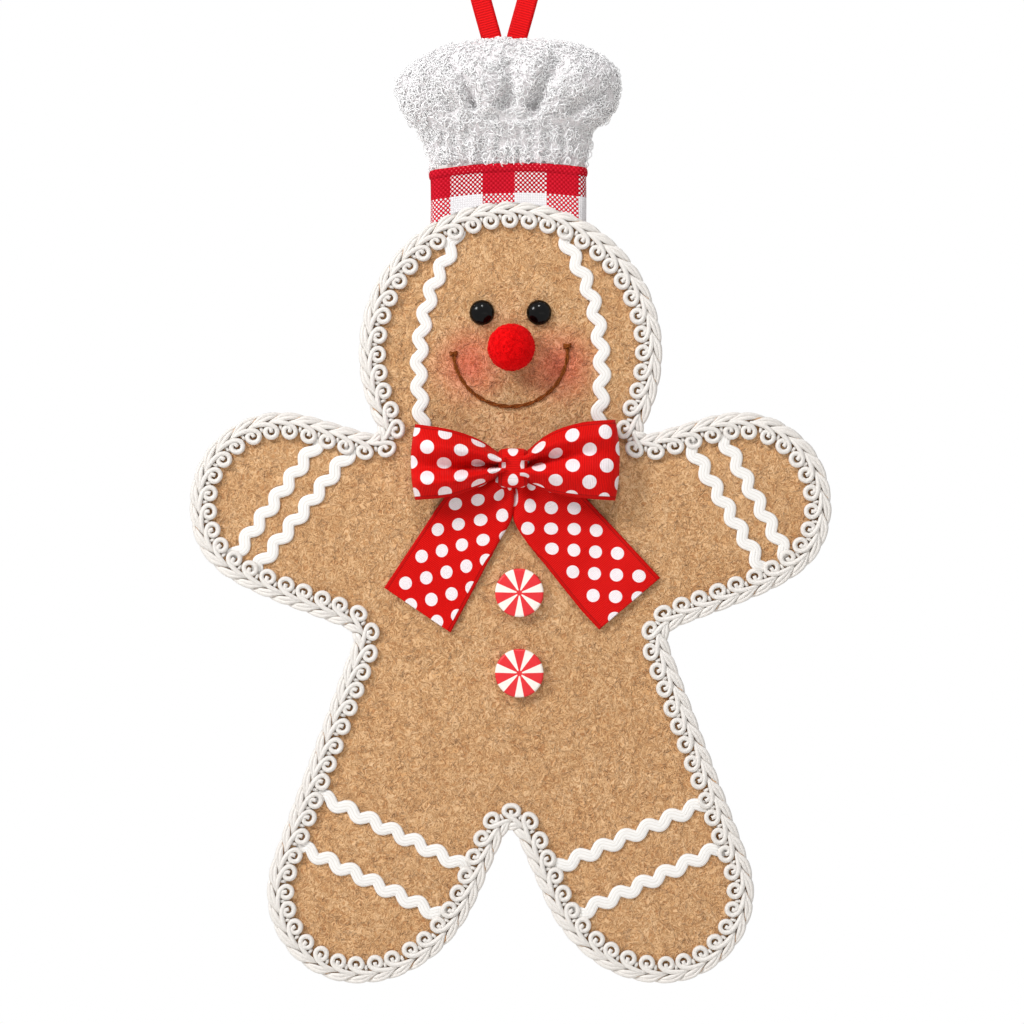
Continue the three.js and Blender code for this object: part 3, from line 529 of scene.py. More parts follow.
def cords(strands, roundness=1, smoothing=2):
    """Round cords with closed ends, each a list of (place, radius) points that a smooth curve follows."""
    curve = bpy.data.curves.new("cords", "CURVE")
    curve.dimensions = "3D"
    curve.bevel_depth = 1
    curve.bevel_resolution = roundness
    curve.resolution_u = smoothing
    curve.use_fill_caps = True
    for strand in strands:
        spline = curve.splines.new("NURBS")
        spline.points.add(len(strand) - 1)
        for point, (spot, radius) in zip(spline.points, strand):
            point.co = (*spot, 1)
            point.radius = radius
        spline.order_u = 3
        spline.use_endpoint_u = True
    holder = bpy.data.objects.new("cords", curve)
    mesh = bpy.data.meshes.new_from_object(holder)
    shape = bmesh.new()
    shape.from_mesh(mesh)
    bpy.data.objects.remove(holder)
    bpy.data.curves.remove(curve)
    bpy.data.meshes.remove(mesh)
    bmesh.ops.remove_doubles(shape, verts=shape.verts, dist=0.0005)
    return shape


def whiskers(count, choose, length, radius, rise):
    """Loose curled fibres. choose() gives a place on the surface and the way out from it."""
    strands = []
    for _ in range(count):
        spot, out = choose()
        side = out.cross(Vector([chance.uniform(-1, 1) for _ in range(3)])).normalized()
        other = out.cross(side)
        size = length * chance.uniform(0.5, 1.4)
        bend = chance.choice((-1, 1)) * chance.uniform(0.1, 0.75) * size
        up = chance.uniform(0.3, 1) * rise
        places = [
            spot - out * 0.15,
            spot + side * (size * 0.25) + other * (bend * 0.1) + out * up,
            spot + side * (size * 0.6) + other * (bend * 0.5) + out * (up * chance.uniform(0.3, 1.2)),
            spot + side * (size * 0.75) + other * bend + out * (up * chance.uniform(0.2, 1)),
            spot + side * (size * chance.uniform(0.3, 0.9)) + other * (bend * 1.35) - out * 0.05,
        ]
        strands.append([(place, radius * scale) for place, scale in zip(places, (1, 1, 1, 0.9, 0.5))])
    return strands


felt_depth = back_high.y - FELT_FRONT
tray_back = BACK_FELT_THICKNESS + GLUE_FILM - felt_depth
tray_edge = rounded_edge(0, tray_back, FELT_ROUND)
tray_edge += [(GIMP_PROUD + FELT_THICKNESS, height) for height in (tray_back, -FELT_THICKNESS)]
front_finish = plush_felt("ginger_plush_felt", True, FELT_TONES)
felt_front = piece("felt_front", rim_plate(tray_edge), front_finish, ["front_felt"])
back_edge = [
    (inward, -felt_depth - height)
    for inward, height in rounded_edge(0, -BACK_FELT_THICKNESS, BACK_FELT_ROUND)
]
back_finish = plush_felt("ginger_plush_felt_back", False, FELT_TONES)
felt_back = piece("felt_back", rim_plate(back_edge), back_finish, ["back_felt"])

chance = random.Random(17)


def nap_place():
    """A random place on the front felt, inside its edge, and the way out from it."""
    while True:
        across, up = (chance.uniform(back_low[axis], back_high[axis]) for axis in (0, 2))
        spot = Vector((across, FELT_FRONT, up))
        near = min(
            range(0, rim_count, 6), key=lambda i: (rim[i].x - spot.x) ** 2 + (rim[i].z - spot.z) ** 2
        )
        inward = (Vector((spot.x, 0, spot.z)) - rim[near]).dot(rim_inward[near])
        if inward > ROW_DEPTH:
            return spot, Vector((0, -1, 0))


nap_shape = cords(whiskers(NAP_COUNT, nap_place, NAP_LENGTH, NAP_RADIUS, NAP_RISE), 0, 1)
# The loose fibres take a lighter copy of the felt's colours: painted light on fibres that stand up.
nap = piece("felt_nap", nap_shape, plush_felt("ginger_loose_fibre", True, NAP_LIT_TONES))

# Foamed polyethylene is matte and off-white, and its closed cells show as fine specks.
craft_foam, tree = material("white_craft_foam", roughness=0.85)
cells = {"Vector": add(tree, "TexCoord", output="Object"), "Scale": 1 / (FOAM_CELL * MM)}
foam_ink = {0: add(tree, "TexVoronoi", cells), 6: colour("#F6F2E8"), 7: colour("#E4DDCC")}
dress(tree, add(tree, "Mix", foam_ink, 2, data_type="RGBA"))
dress_solid("foam_core", craft_foam)


# Scroll gimp: cords wrapped in white rayon, glued round the whole edge. Pairs of cords plait over the rim,
# and from each pair one cord runs inwards and curls into a scroll. A fine thread ties scroll to scroll.

SCROLL_PITCH = 6.2
SCROLL = [
    (-6.9, 3.2, 0.3, 0.5), (-5.6, 3.2, 0.8, 0.68), (-4.2, 3.25, 1.1, 0.8), (-2.6, 3.45, 1.2, 0.84),
    (-1.0, 3.8, 1.2, 0.84), (0.4, 4.3, 1.1, 0.84), (1.5, 5.1, 1.0, 0.84), (2.0, 6.15, 0.95, 0.84),
    (1.75, 7.2, 0.95, 0.84), (0.95, 7.95, 0.95, 0.84), (-0.15, 8.15, 0.95, 0.84), (-1.25, 7.85, 0.95, 0.84),
    (-2.0, 7.0, 0.95, 0.84), (-2.1, 5.9, 0.9, 0.84), (-1.55, 5.0, 0.88, 0.82), (-0.7, 4.75, 0.95, 0.76),
    (-0.05, 5.2, 1.1, 0.72), (0.0, 5.85, 1.2, 0.7), (0.0, 6.5, 1.2, 0.66),
]
OUTER_LEAF = [
    (4.0, 0.95, -0.2, 0.3), (2.6, 0.8, 0.1, 0.56), (1.2, 0.76, 0.4, 0.72), (-0.6, 0.82, 0.65, 0.8),
    (-2.2, 1.0, 0.85, 0.82), (-3.2, 1.55, 0.95, 0.74), (-4.4, 2.3, 0.95, 0.6), (-5.7, 2.95, 0.8, 0.5),
    (-6.9, 3.25, 0.3, 0.4),
]
INNER_LEAF = [
    (2.7, 1.15, -0.1, 0.3), (1.1, 1.45, 0.5, 0.6), (-0.5, 1.85, 0.85, 0.78), (-2.0, 2.25, 1.05, 0.8),
    (-3.6, 2.7, 1.1, 0.7), (-5.2, 3.1, 0.9, 0.54), (-6.8, 3.3, 0.3, 0.4),
]
TIE = [(-3.15, 4.2, 0.3, 0.55), (-3.1, 4.9, 1.0, 0.66), (-3.05, 5.7, 0.3, 0.55)]
CORE_IN = 1.7
CORE_HEIGHT = -0.1
CORE_RADIUS = 0.85
CORE_STEP = 3


def on_rim(along, inward, height):
    """A point by the rim: a distance along the scroll row, in from the trim's outer edge, and out in front
    of the felt."""
    along %= ROW_LENGTH
    i = min(bisect.bisect_right(row_reached, along), rim_count) - 1
    part = (along - row_reached[i]) / (row_reached[i + 1] - row_reached[i])
    edge = rim[i].lerp(rim[(i + 1) % rim_count], part)
    normal = rim_inward[i].lerp(rim_inward[(i + 1) % rim_count], part).normalized()
    spot = edge + normal * (inward - GIMP_PROUD)
    return Vector((spot.x, FELT_FRONT - height, spot.z))


def mottled(name, grain, dark, light, detail=2.0, curl=0.0, clear=(0.0, 1.0), relief=(0, 0), **constants):
    """A material that fine noise turns from dark to light and raises by its relief (strength, depth). Its
    grain is in millimetres, and clear is the span of the noise that goes from all dark to all light."""
    made, tree = material(name, **constants)
    place = add(tree, "TexCoord", output="Object")
    spread = {"Vector": place, "Scale": 1 / (grain * MM), "Detail": detail, "Distortion": curl}
    mat = add(tree, "TexNoise", spread)
    ink = {0: add(tree, "MapRange", (mat, *clear)), 6: colour(dark), 7: colour(light)}
    dress(tree, add(tree, "Mix", ink, 2, data_type="RGBA"), mat if relief[0] else None, *relief)
    return made


repeats = round(ROW_LENGTH / SCROLL_PITCH)
chance = random.Random(3)
gimp_cords = []
for repeat in range(repeats):
    start = repeat * (ROW_LENGTH / repeats) + chance.uniform(-0.25, 0.25)
    size = chance.uniform(0.96, 1.05)
    lift = chance.uniform(-0.1, 0.1)
    for route in (SCROLL, OUTER_LEAF, INNER_LEAF, TIE):
        cord = []
        for along, inward, height, radius in route:
            sway = chance.uniform(-0.05, 0.05)
            cord.append((on_rim(start + along * size, inward + sway, height + lift), radius))
        gimp_cords.append(cord)
# Rayon thread wrapped round a cord has a soft silky shine, a little uneven from turn to turn.
rayon_cord = mottled(
    "white_rayon_gimp_cord", 0.5, "#DAD3CC", "#F1EEEA", 3.0, 0.4, relief=(0.35, 0.12),
    roughness=0.45, sheen_weight=0.05, specular_ior_level=0.3,
)
piece("gimp_scrolls", cords(gimp_cords), rayon_cord, ["scroll_gimp_trim"])

core_steps = round(ROW_LENGTH / CORE_STEP)
core_places = [on_rim(k * ROW_LENGTH / core_steps, CORE_IN, CORE_HEIGHT) for k in range(core_steps + 2)]
core_shape = cords([[(place, CORE_RADIUS) for place in core_places]], 2)
# A core of spun cotton, dull and tan, lies under the plait: its tan is partly its own colour and partly
# painted shade in the gaps between the leaves of the plait.
core_cotton = mottled(
    "tan_gimp_core_gap_shade", 0.8, "#B98E66", "#D9B592", roughness=0.9, specular_ior_level=0.1
)
piece("gimp_core_cord", core_shape, core_cotton, ["scroll_gimp_trim"])


# Rickrack icing: a flat cotton braid woven in waves, glued to the felt in ten strips. Three fine lines run
# along it with the waves, and both ends of each strip are tucked under the scrolls.

BRAID_WIDTH = 3.8
BRAID_THICKNESS = 1.0
BRAID_SWING = 1.12
BRAID_PITCH = 7.9
BRAID_TUCK = 6.2
BRAID_SUNK = 3.4
BRAID_STEP = 0.45
BRAID_SAMPLES = 400
BRAID_ACROSS = 40
BRAID_LINES = 4
BRAID_GROOVE = 0.07
BRAID_GLUE = 0.05
BRAID_TOP_SHARE = 0.85
HEAD_STRIP = [(0.352, 0.8), (0.38, 0.7), (0.53, 0.37), (0.6, -0.06), (0.575, -0.55)]
HEAD_PHASE = 1.2
HAND = (72.71, -47.88)
HAND_RADIUS = 29.4
FOOT = (48.4, -171.28)
FOOT_RADIUS = 29.2
LIMB_STRIPS = [
    ("arm_left_outer", -1, HAND, HAND_RADIUS, (0.02, 0.1), 53.7),
    ("arm_left_inner", -1, HAND, HAND_RADIUS, (-0.285, -0.013), 51.5),
    ("arm_right_inner", 1, HAND, HAND_RADIUS, (-0.14, -0.04), 59.5),
    ("arm_right_outer", 1, HAND, HAND_RADIUS, (0.15, 0.105), 61.7),
    ("leg_left_upper", -1, FOOT, FOOT_RADIUS, (-0.38, 0.66), 153.9),
    ("leg_left_lower", -1, FOOT, FOOT_RADIUS, (-0.145, 0.115), 154),
    ("leg_right_upper", 1, FOOT, FOOT_RADIUS, (-0.35, 0.62), 156.5),
    ("leg_right_lower", 1, FOOT, FOOT_RADIUS, (-0.125, 0.135), 155),
]


def rim_distance(spot):
    """How far in from the trim's outer edge a point on the felt lies."""
    flat = Vector((spot.x, 0, spot.z))
    return min((edge - flat).length for edge in rim[::3]) + GIMP_PROUD


def limb_line(side, limb, radius, centre, slant):
    """The ends of a straight strip, followed out from its middle until they are under the scrolls."""
    middle = on_felt(side * (limb[0] + centre[0] * radius), limb[1] + centre[1] * radius)
    angle = math.radians(slant)
    aim = Vector((side * math.cos(angle), 0, -math.sin(angle)))
    ends = []
    for way in (-1, 1):
        reach = 0
        while rim_distance(middle + aim * (way * reach)) > BRAID_TUCK:
            reach += BRAID_STEP
        ends.append(middle + aim * (way * reach))
    return ends


def braid(line, phase):
    """A wavy braid along a line on the felt. Its section is a low arch with three fine grooves."""
    spaced, length = evenly(line, BRAID_SAMPLES)

    def place(u, v):
        i = round(u * BRAID_SAMPLES)
        along = (spaced[min(i + 1, BRAID_SAMPLES)] - spaced[max(i - 1, 0)]).normalized()
        across = Vector((-along.z, 0, along.x))
        turn = 2 * math.pi * u * length / BRAID_PITCH + phase
        slope = 2 * math.pi * BRAID_SWING / BRAID_PITCH * math.cos(turn)
        side = (across - along * slope).normalized()
        share = min(v / BRAID_TOP_SHARE, 1)
        edge = 2 * share - 1
        arch = math.sqrt(1 - edge ** 4)
        fold = max(math.cos(2 * math.pi * BRAID_LINES * share), 0) ** 3
        groove = -BRAID_GROOVE * fold * (abs(edge) < 0.8)
        shown = smoothstep(min(u, 1 - u) * length, 0, BRAID_SUNK)
        height = BRAID_THICKNESS * arch * (0.1 + 0.9 * shown) + groove * shown
        if v > BRAID_TOP_SHARE:
            edge = 1 - 2 * (v - BRAID_TOP_SHARE) / (1 - BRAID_TOP_SHARE)
            height = 0
        centre = spaced[i] + across * (BRAID_SWING * math.sin(turn))
        spot = centre + side * (edge * BRAID_WIDTH / 2)
        return Vector((spot.x, FELT_FRONT - BRAID_GLUE - height, spot.z))

    steps = (round(length / BRAID_STEP), BRAID_ACROSS)
    return closed(patch(steps, (length, BRAID_WIDTH / BRAID_TOP_SHARE), place))


def rickrack_cotton():
    """Bleached cotton thread: matte, drawn out along the braid, with painted shade making it a little
    greyer down in the grooves.
    """
    spun = {"roughness": 0.88, "sheen_weight": 0.05, "specular_ior_level": 0.12}
    made, tree = material("white_cotton_rickrack", **spun)
    uv = add(tree, "UVMap", uv_map="UVMap")
    drawn = add(tree, "Mapping", {"Vector": uv, "Scale": (1.6, 7.0, 1.0)})
    threads = add(tree, "TexNoise", {"Vector": drawn, "Scale": 1.0, "Detail": 2.0})
    cotton = add(tree, "Mix", {0: threads, 6: colour("#EDEAE6"), 7: colour("#FBF9F7")}, 2, data_type="RGBA")
    across = add(tree, "SeparateXYZ", (uv,), "Y")
    lines = wave(tree, across, BRAID_WIDTH / BRAID_LINES, "COSINE")
    # Painted shade: the colour greys towards the middle of each groove.
    groove = add(tree, "MapRange", (lines, 0.5, 1.0, 0.0, 0.8))
    lined = add(tree, "Mix", {0: groove, 6: cotton, 7: colour("#E2DDD5")}, 2, data_type="RGBA")
    dress(tree, lined, threads, 0.6, 0.12)
    return made


strips = []
for name, side in (("head_left", -1), ("head_right", 1)):
    line = [on_felt(side * out * HEAD_RADIUS, up * HEAD_RADIUS) for out, up in HEAD_STRIP]
    strips.append((name, line, HEAD_PHASE))
strips += [(name, limb_line(side, *rest), side) for name, side, *rest in LIMB_STRIPS]
cotton_braid = rickrack_cotton()
for name, line, phase in strips:
    piece(f"icing_rickrack_{name}", braid(line, phase), cotton_braid, [f"rickrack_{name}"])


# Eyes: two domed black plastic beads with a high polish. Each rounds in a little at its foot and is glued
# to the felt by its flat back.

EYE_RADIUS = 4
EYE_HEIGHT = 3.4
EYE_OUT = 9.05
EYE_UP = 12.73
EYE_GLUE = 0.02


def turned(profile, centre, sides):
    """A closed piece turned on an axis that points out of the felt, from (radius, height) points that
    start and end on the axis. Its UVs hold millimetres from the axis, as seen from the front."""
    shape = bmesh.new()
    corners = [shape.verts.new((radius, -height, 0)) for radius, height in profile]
    edges = [shape.edges.new(pair) for pair in zip(corners, corners[1:])]
    turn = {"cent": (0, 0, 0), "axis": (0, 1, 0), "angle": 2 * math.pi, "steps": sides, "use_merge": True}
    bmesh.ops.spin(shape, geom=corners + edges, **turn)
    bmesh.ops.remove_doubles(shape, verts=shape.verts, dist=0.001)
    bmesh.ops.recalc_face_normals(shape, faces=shape.faces)
    flat = shape.loops.layers.uv.new("UVMap")
    for face in shape.faces:
        for loop in face.loops:
            loop[flat].uv = (loop.vert.co.x, loop.vert.co.z)
    bmesh.ops.translate(shape, verts=shape.verts, vec=centre)
    return shape


def dome(radius, height, steps):
    """Profile of a dome that rounds in a little at its foot."""
    sides = [math.radians(-12 + 102 * k / steps) for k in range(1, steps)]
    rounds = [(radius * math.cos(a), height * (0.14 + 0.86 * math.sin(a))) for a in sides]
    return [(0, 0), (radius * 0.86, 0), *rounds, (0, height)]


# Moulded acrylic, tumbled to a polish, is deep black with small bright highlights.
bead = mottled("polished_black_bead", 1.5, "#010101", "#050404", roughness=0.16, specular_ior_level=0.16)
for name, side in (("left", -1), ("right", 1)):
    shape = turned(dome(EYE_RADIUS, EYE_HEIGHT, 12), on_felt(side * EYE_OUT, EYE_UP, EYE_GLUE), 48)
    piece(f"eye_bead_{name}", shape, bead, [f"eye_{name}"])


# Nose: a firm ball of red wool felt, glued on where it is pressed a little flat. Loose fibres stand on it
# all round and blur its outline.

NOSE_RADIUS = 7.4
NOSE_PLACE = (0.24, 1.5)
NOSE_SINK = 0.78
NOSE_GLUE = 0.05
NOSE_FIBRES = 900


def nose_surface():
    """A random place on the ball, mostly on its front, and the way out from it."""
    out = Vector((chance.gauss(0, 1), chance.gauss(0, 1), chance.gauss(0, 1))).normalized()
    if out.y > 0.6:
        out.y = -out.y
    return nose_centre + out * NOSE_RADIUS, out


def wool(name, dark, light, grain):
    """Wool or cotton fibre: dull and dense, matted or spun so finely that it shows as lighter lines."""
    fuzzy = {"roughness": 0.9, "sheen_weight": 0.02, "specular_ior_level": 0.05}
    return mottled(name, grain, dark, light, 3.0, 2.2, (0.35, 0.65), (0.8, 0.25), **fuzzy)


def join(shape, other):
    """Puts a second shape into the first one, as its last faces."""
    carrier = bpy.data.meshes.new("carrier")
    other.to_mesh(carrier)
    other.free()
    shape.from_mesh(carrier)
    bpy.data.meshes.remove(carrier)
    shape.faces.index_update()


chance = random.Random(11)
nose_centre = on_felt(*NOSE_PLACE, NOSE_RADIUS * NOSE_SINK)
nose_shape = bmesh.new()
bmesh.ops.create_icosphere(nose_shape, subdivisions=5, radius=NOSE_RADIUS)
for vert in nose_shape.verts:
    lump = noise.noise(vert.co * 0.7) * 0.12 + noise.noise(vert.co * 2.6) * 0.04
    vert.co += vert.co.normalized() * lump
    vert.co += nose_centre
    vert.co.y = min(vert.co.y, FELT_FRONT - NOSE_GLUE)
join(nose_shape, cords(whiskers(NOSE_FIBRES, nose_surface, 1.3, 0.05, 0.16), 0))
red_wool = wool("red_wool_felt", "#D40004", "#FA1014", 0.8)
nose = piece("nose_felt_ball", nose_shape, red_wool, ["nose_ball"])


# Smile: one long stitch of a two-ply brown cotton thread, sewn through the felt. Over each end of it two
# short tack stitches of the same thread cross.

SMILE_RADIUS = 18.1
SMILE_FLATTEN = 0.975
SMILE_UP = 0.55
SMILE_TILT = math.radians(4)
SMILE_HEIGHT = 0.42
SMILE_DIP = 0.5
PLY_RADIUS = 0.34
PLY_OUT = 0.31
PLY_PITCH = 8.0
PLY_LINGER = 0.32
PLY_STEP = 0.5
TACK_LENGTH = 2.4
TACK_LEAN = 0.4
TACK_PAST = 0.02
TACK_HEIGHT = 0.85
TACK_ARCH = 2.6


def two_ply(line, length):
    """Two plies wound round a line of places, given as a function of the share along it. They lie side by
    side for longer than one over the other."""
    steps = round(length / PLY_STEP)
    plies = []
    for half_turn in (0, math.pi):
        ply = []
        for k in range(steps + 1):
            share = k / steps
            ahead = line(min(share + 0.01, 1)) - line(max(share - 0.01, 0))
            out = Vector((0, -1, 0))
            side = ahead.normalized().cross(out)
            angle = 2 * math.pi * share * length / PLY_PITCH + half_turn
            angle -= PLY_LINGER * math.sin(2 * angle)
            aside = (out * math.sin(angle) + side * math.cos(angle)) * PLY_OUT
            ply.append((line(share) + aside, PLY_RADIUS))
        plies.append(ply)
    return plies


def on_smile(radius, angle, height):
    return on_felt(radius * math.cos(angle), radius * math.sin(angle) * SMILE_FLATTEN + SMILE_UP, height)


def smile_line(share):
    dip = SMILE_DIP * smoothstep(min(share, 1 - share), 0.012, 0)
    return on_smile(SMILE_RADIUS, SMILE_TILT - share * math.pi, SMILE_HEIGHT - dip)


def tack_line(end, lean):
    """One of the two short stitches that cross over an end of the smile."""
    angle = SMILE_TILT + TACK_PAST if end > 0 else SMILE_TILT - math.pi - TACK_PAST

    def place(share):
        out = (share - 0.5) * TACK_LENGTH
        rise = out * math.sin(lean) / SMILE_RADIUS
        height = TACK_HEIGHT - TACK_ARCH * (share - 0.5) ** 2
        return on_smile(SMILE_RADIUS + out * math.cos(lean), angle + rise, height)

    return place


brown_thread = wool("brown_cotton_thread", "#40190A", "#AE6028", 0.35)
smile = cords(two_ply(smile_line, SMILE_RADIUS * math.pi))
piece("smile_stitch", smile, brown_thread, ["smile_thread"])
for name, end in (("left", -1), ("right", 1)):
    first, second = (two_ply(tack_line(end, lean), TACK_LENGTH) for lean in (TACK_LEAN, -TACK_LEAN))
    tack = cords(first + second)
    piece(f"smile_tack_stitch_{name}", tack, brown_thread, [f"smile_tack_{name}"])


# Peppermint buttons: two flat resin discs with rounded edges, glued on. Seven red and seven white wedges
# are painted on each, and they meet at a small red hub.

BUTTON_RADIUS = 7.7
BUTTON_THICKNESS = 3
BUTTON_ROUND = 0.7
BUTTON_FOOT = 0.5
BUTTON_CROWN = 0.1
BUTTON_OUT = 2.8
BUTTON_DROPS = {"upper": 76.18, "lower": 101.68}
BUTTON_GLUE = 0.05
WEDGES = 7
HUB = 0.75


def button_profile():
    """Half of a button's section, from the middle of its back round its edge to the middle of its front."""
    inner = BUTTON_RADIUS - BUTTON_ROUND
    turns = [k / 5 * math.pi / 2 for k in range(6)]
    low = BUTTON_THICKNESS - BUTTON_ROUND
    corner = [(inner + BUTTON_ROUND * math.cos(a), low + BUTTON_ROUND * math.sin(a)) for a in turns]
    crown = [(inner * 0.6, BUTTON_THICKNESS + BUTTON_CROWN * 0.8), (0, BUTTON_THICKNESS + BUTTON_CROWN)]
    return [(0, 0), (inner, 0), (BUTTON_RADIUS, BUTTON_FOOT), *corner, *crown]


def peppermint_paint():
    """Paint on cast resin: brushed a little unevenly, with a thin lacquer that gives a soft gloss."""
    lacquer = {"roughness": 0.42, "coat_weight": 0.15, "coat_roughness": 0.25, "specular_ior_level": 0.4}
    made, tree = material("painted_resin_peppermint", **lacquer)
    uv = add(tree, "UVMap", uv_map="UVMap")
    across, up, _ = add(tree, "SeparateXYZ", (uv,), None)
    turn = add(tree, "Math", (across, up), operation="ARCTAN2")
    wedges = add(tree, "MapRange", (wave(tree, turn, 2 * math.pi / WEDGES, "COSINE"), -0.26, -0.14))
    reach = add(tree, "VectorMath", (uv,), "Value", operation="LENGTH")
    hub = add(tree, "MapRange", (reach, HUB, HUB + 0.3, 1.0, 0.0))
    painted = add(tree, "Math", (wedges, hub), operation="MAXIMUM")
    brushed = add(tree, "TexNoise", {"Vector": uv, "Scale": 0.8, "Detail": 4.0, "Distortion": 1.0})
    cream = add(tree, "Mix", {0: brushed, 6: colour("#FFF8F0"), 7: colour("#F4EADF")}, 2, data_type="RGBA")
    red = add(tree, "Mix", {0: brushed, 6: colour("#EE2A30"), 7: colour("#DA1E26")}, 2, data_type="RGBA")
    dress(tree, add(tree, "Mix", {0: painted, 6: cream, 7: red}, 2, data_type="RGBA"), painted, 0.25, 0.1)
    return made


painted_resin = peppermint_paint()
for name, drop in BUTTON_DROPS.items():
    disc = turned(button_profile(), on_felt(BUTTON_OUT, -drop, BUTTON_GLUE), 64)
    piece(f"peppermint_{name}", disc, painted_resin, [f"button_{name}"])


# Bow: one-inch red grosgrain printed with white dots, wired a little so that it keeps its folds. Each loop
# is a length doubled over and gathered at the middle, the knot is a short length wrapped round both, and
# the two tails hang from under it, free below the loops.

BOW = (0.8, -36.68)
BOW_RIBBON = 25.4
BOW_THICKNESS = 0.45
BOW_EDGE = 1.1
BOW_RIB = 0.55
DOT_PITCH = {"loop": 7.65, "knot": 6.8, "tail": 7}
DOT_EDGE = (0.287, 0.303)
LOOP_FOOT = 4.1
LOOP_GATHER = 4.0
LOOP_BACK_SHARE = 0.42
LOOP_EDGE_CURL = 1.5
LOOP_CORNER = 1.4
LOOP_WAVE = 0.9
LOOP_STEPS = 84
LOOP_PLAN = [
    (-1.8, 7.2), (7.8, 9.8), (17.4, 11.4), (25.2, 10.4), (28, 7), (25.2, 4), (17.4, 3), (7.8, 3.4),
    (-1.8, 4.6),
]
LOOPS = {
    "left": (-1, 1, 0.05, 0.36, (19.9, 12.7), [
        (0, -32.3, -38.9), (0.24, -27.8, -42.4), (0.57, -24.7, -45.6), (1, -22.9, -46.7),
    ]),
    "right": (1, 1.05, -0.09, 0.95, (17.0, 10.9), [
        (0, -31.6, -41.0), (0.26, -25.8, -44.2), (0.59, -22.6, -46.0), (1, -21.5, -46.9),
    ]),
}
KNOT_HALF = (4.6, 6.0, 4.7)
KNOT_MIDDLE = 4.9
KNOT_WIDTH = 11
KNOT_STEPS = 96
KNOT_CURL = 1.3
KNOT_DOT = 3.9
TAIL_START = 3.5
TAIL_CURL = 3.0
TAIL_CURL_RADIUS = 0.95
TAIL_LIFT = 1.25
TAIL_RISE = 2.9
TAIL_GATHER = 1.1
TAIL_WAVE = 0.32
HINGE_REACH = 27
HINGE_BEND = 4
HINGE_OUT = 0.95
TAILS = {
    "left": (-34, 54.3, (30.8, 9.5), 43.5, 0.2, [
        (3.5, 3.2, 2.2), (8, 7.4, 5.6), (13.6, 11.6, 8.4), (21.9, 12.9, 9.2), (30, 12.9, 10.2),
        (54.4, 12.7, 12.75),
    ]),
    "right": (40.3, 56.7, (28.8, 10.6), 44, 2.6, [
        (3.5, 3.4, 2.4), (8, 7.6, 6.6), (12.4, 10.4, 10.1), (17.7, 11.2, 11.4), (30, 11.9, 12.1),
        (56.8, 13.1, 12.9),
    ]),
}


def follow(rows, key):
    """The row at a key, on a smooth curve through rows that each start with theirs."""
    last = len(rows) - 1
    i = min(max(bisect.bisect_right([row[0] for row in rows], key) - 1, 0), last - 1)
    start, end = Vector(rows[i]), Vector(rows[i + 1])
    span = end[0] - start[0]
    part = min(max((key - start[0]) / span, 0), 1)
    rest = 1 - part
    leans = [Vector(rows[min(k + 1, last)]) - Vector(rows[max(k - 1, 0)]) for k in (i, i + 1)]
    leans = [lean * (span / lean[0]) for lean in leans]
    held = start * (rest * rest * (1 + 2 * part)) + end * (part * part * (3 - 2 * part))
    return held + leans[0] * (part * rest * rest) - leans[1] * (part * part * rest)


def dotted(name, phase, pitch, width=BOW_RIBBON, turn=45, margin=-9):
    """Red grosgrain with round white dots printed on it in a square lattice. The phase is the middle of one
    dot, along and across the ribbon. A dot whose middle is within the margin of an edge is left out."""
    made = grosgrain(f"dotted_grosgrain_{name}", "#E20E0A", "#B80604", BOW_RIB, BOW_EDGE, width)
    tree = made.node_tree
    red = tree.nodes["Principled BSDF"].inputs["Base Color"].links[0].from_socket
    edge = width / 2 - BOW_EDGE
    angle = math.radians(turn)
    uv = add(tree, "UVMap", uv_map="UVMap")
    moved = add(tree, "VectorMath", (uv, (*phase, 0)), operation="SUBTRACT")
    lattice = {"Vector": moved, "Rotation": (0, 0, angle), "Scale": (1 / pitch, 1 / pitch, 1)}
    wrap = (add(tree, "Mapping", lattice), (0.5,) * 3, (-0.5,) * 3)
    cell = add(tree, "VectorMath", wrap, operation="WRAP")
    flat = add(tree, "VectorMath", (cell, (1, 1, 0)), operation="MULTIPLY")
    reach = add(tree, "VectorMath", (flat,), "Value", operation="LENGTH")
    disc = add(tree, "MapRange", (reach, *DOT_EDGE, 1.0, 0.0))
    across = add(tree, "SeparateXYZ", (uv,), "Y")
    centred = add(tree, "Math", (across, width / 2), operation="SUBTRACT")
    out = add(tree, "Math", (centred,), operation="ABSOLUTE")
    inside = add(tree, "MapRange", (out, edge - 0.15, edge, 1.0, 0.0))
    back = (-pitch * math.sin(angle), pitch * math.cos(angle), 0)
    aside = add(tree, "VectorMath", (flat, back), "Value", operation="DOT_PRODUCT")
    middle = add(tree, "Math", (centred, aside), operation="SUBTRACT")
    middle_out = add(tree, "Math", (middle,), operation="ABSOLUTE")
    whole = add(tree, "Math", (middle_out, width / 2 - margin), operation="LESS_THAN")
    kept = add(tree, "Math", (inside, whole), operation="MULTIPLY")
    printed = add(tree, "Math", (disc, kept), operation="MULTIPLY")
    # The white of the dots varies at random from white to pale pink.
    dot_tone = add(tree, "TexNoise", {"Vector": uv, "Scale": 1.6, "Detail": 4.0})
    white = add(tree, "Mix", {0: dot_tone, 6: colour("#FFFAFC"), 7: colour("#EFDDE2")}, 2, data_type="RGBA")
    beside = add(tree, "Math", (out, edge), operation="SUBTRACT")
    seam = add(tree, "Math", (beside,), operation="ABSOLUTE")
    line = add(tree, "MapRange", (seam, 0.05, 0.3, 0.7, 0.0))
    lined = add(tree, "Mix", {0: line, 6: red, 7: colour("#8C0404")}, 2, data_type="RGBA")
    dress(tree, add(tree, "Mix", {0: printed, 6: lined, 7: white}, 2, data_type="RGBA"))
    return made


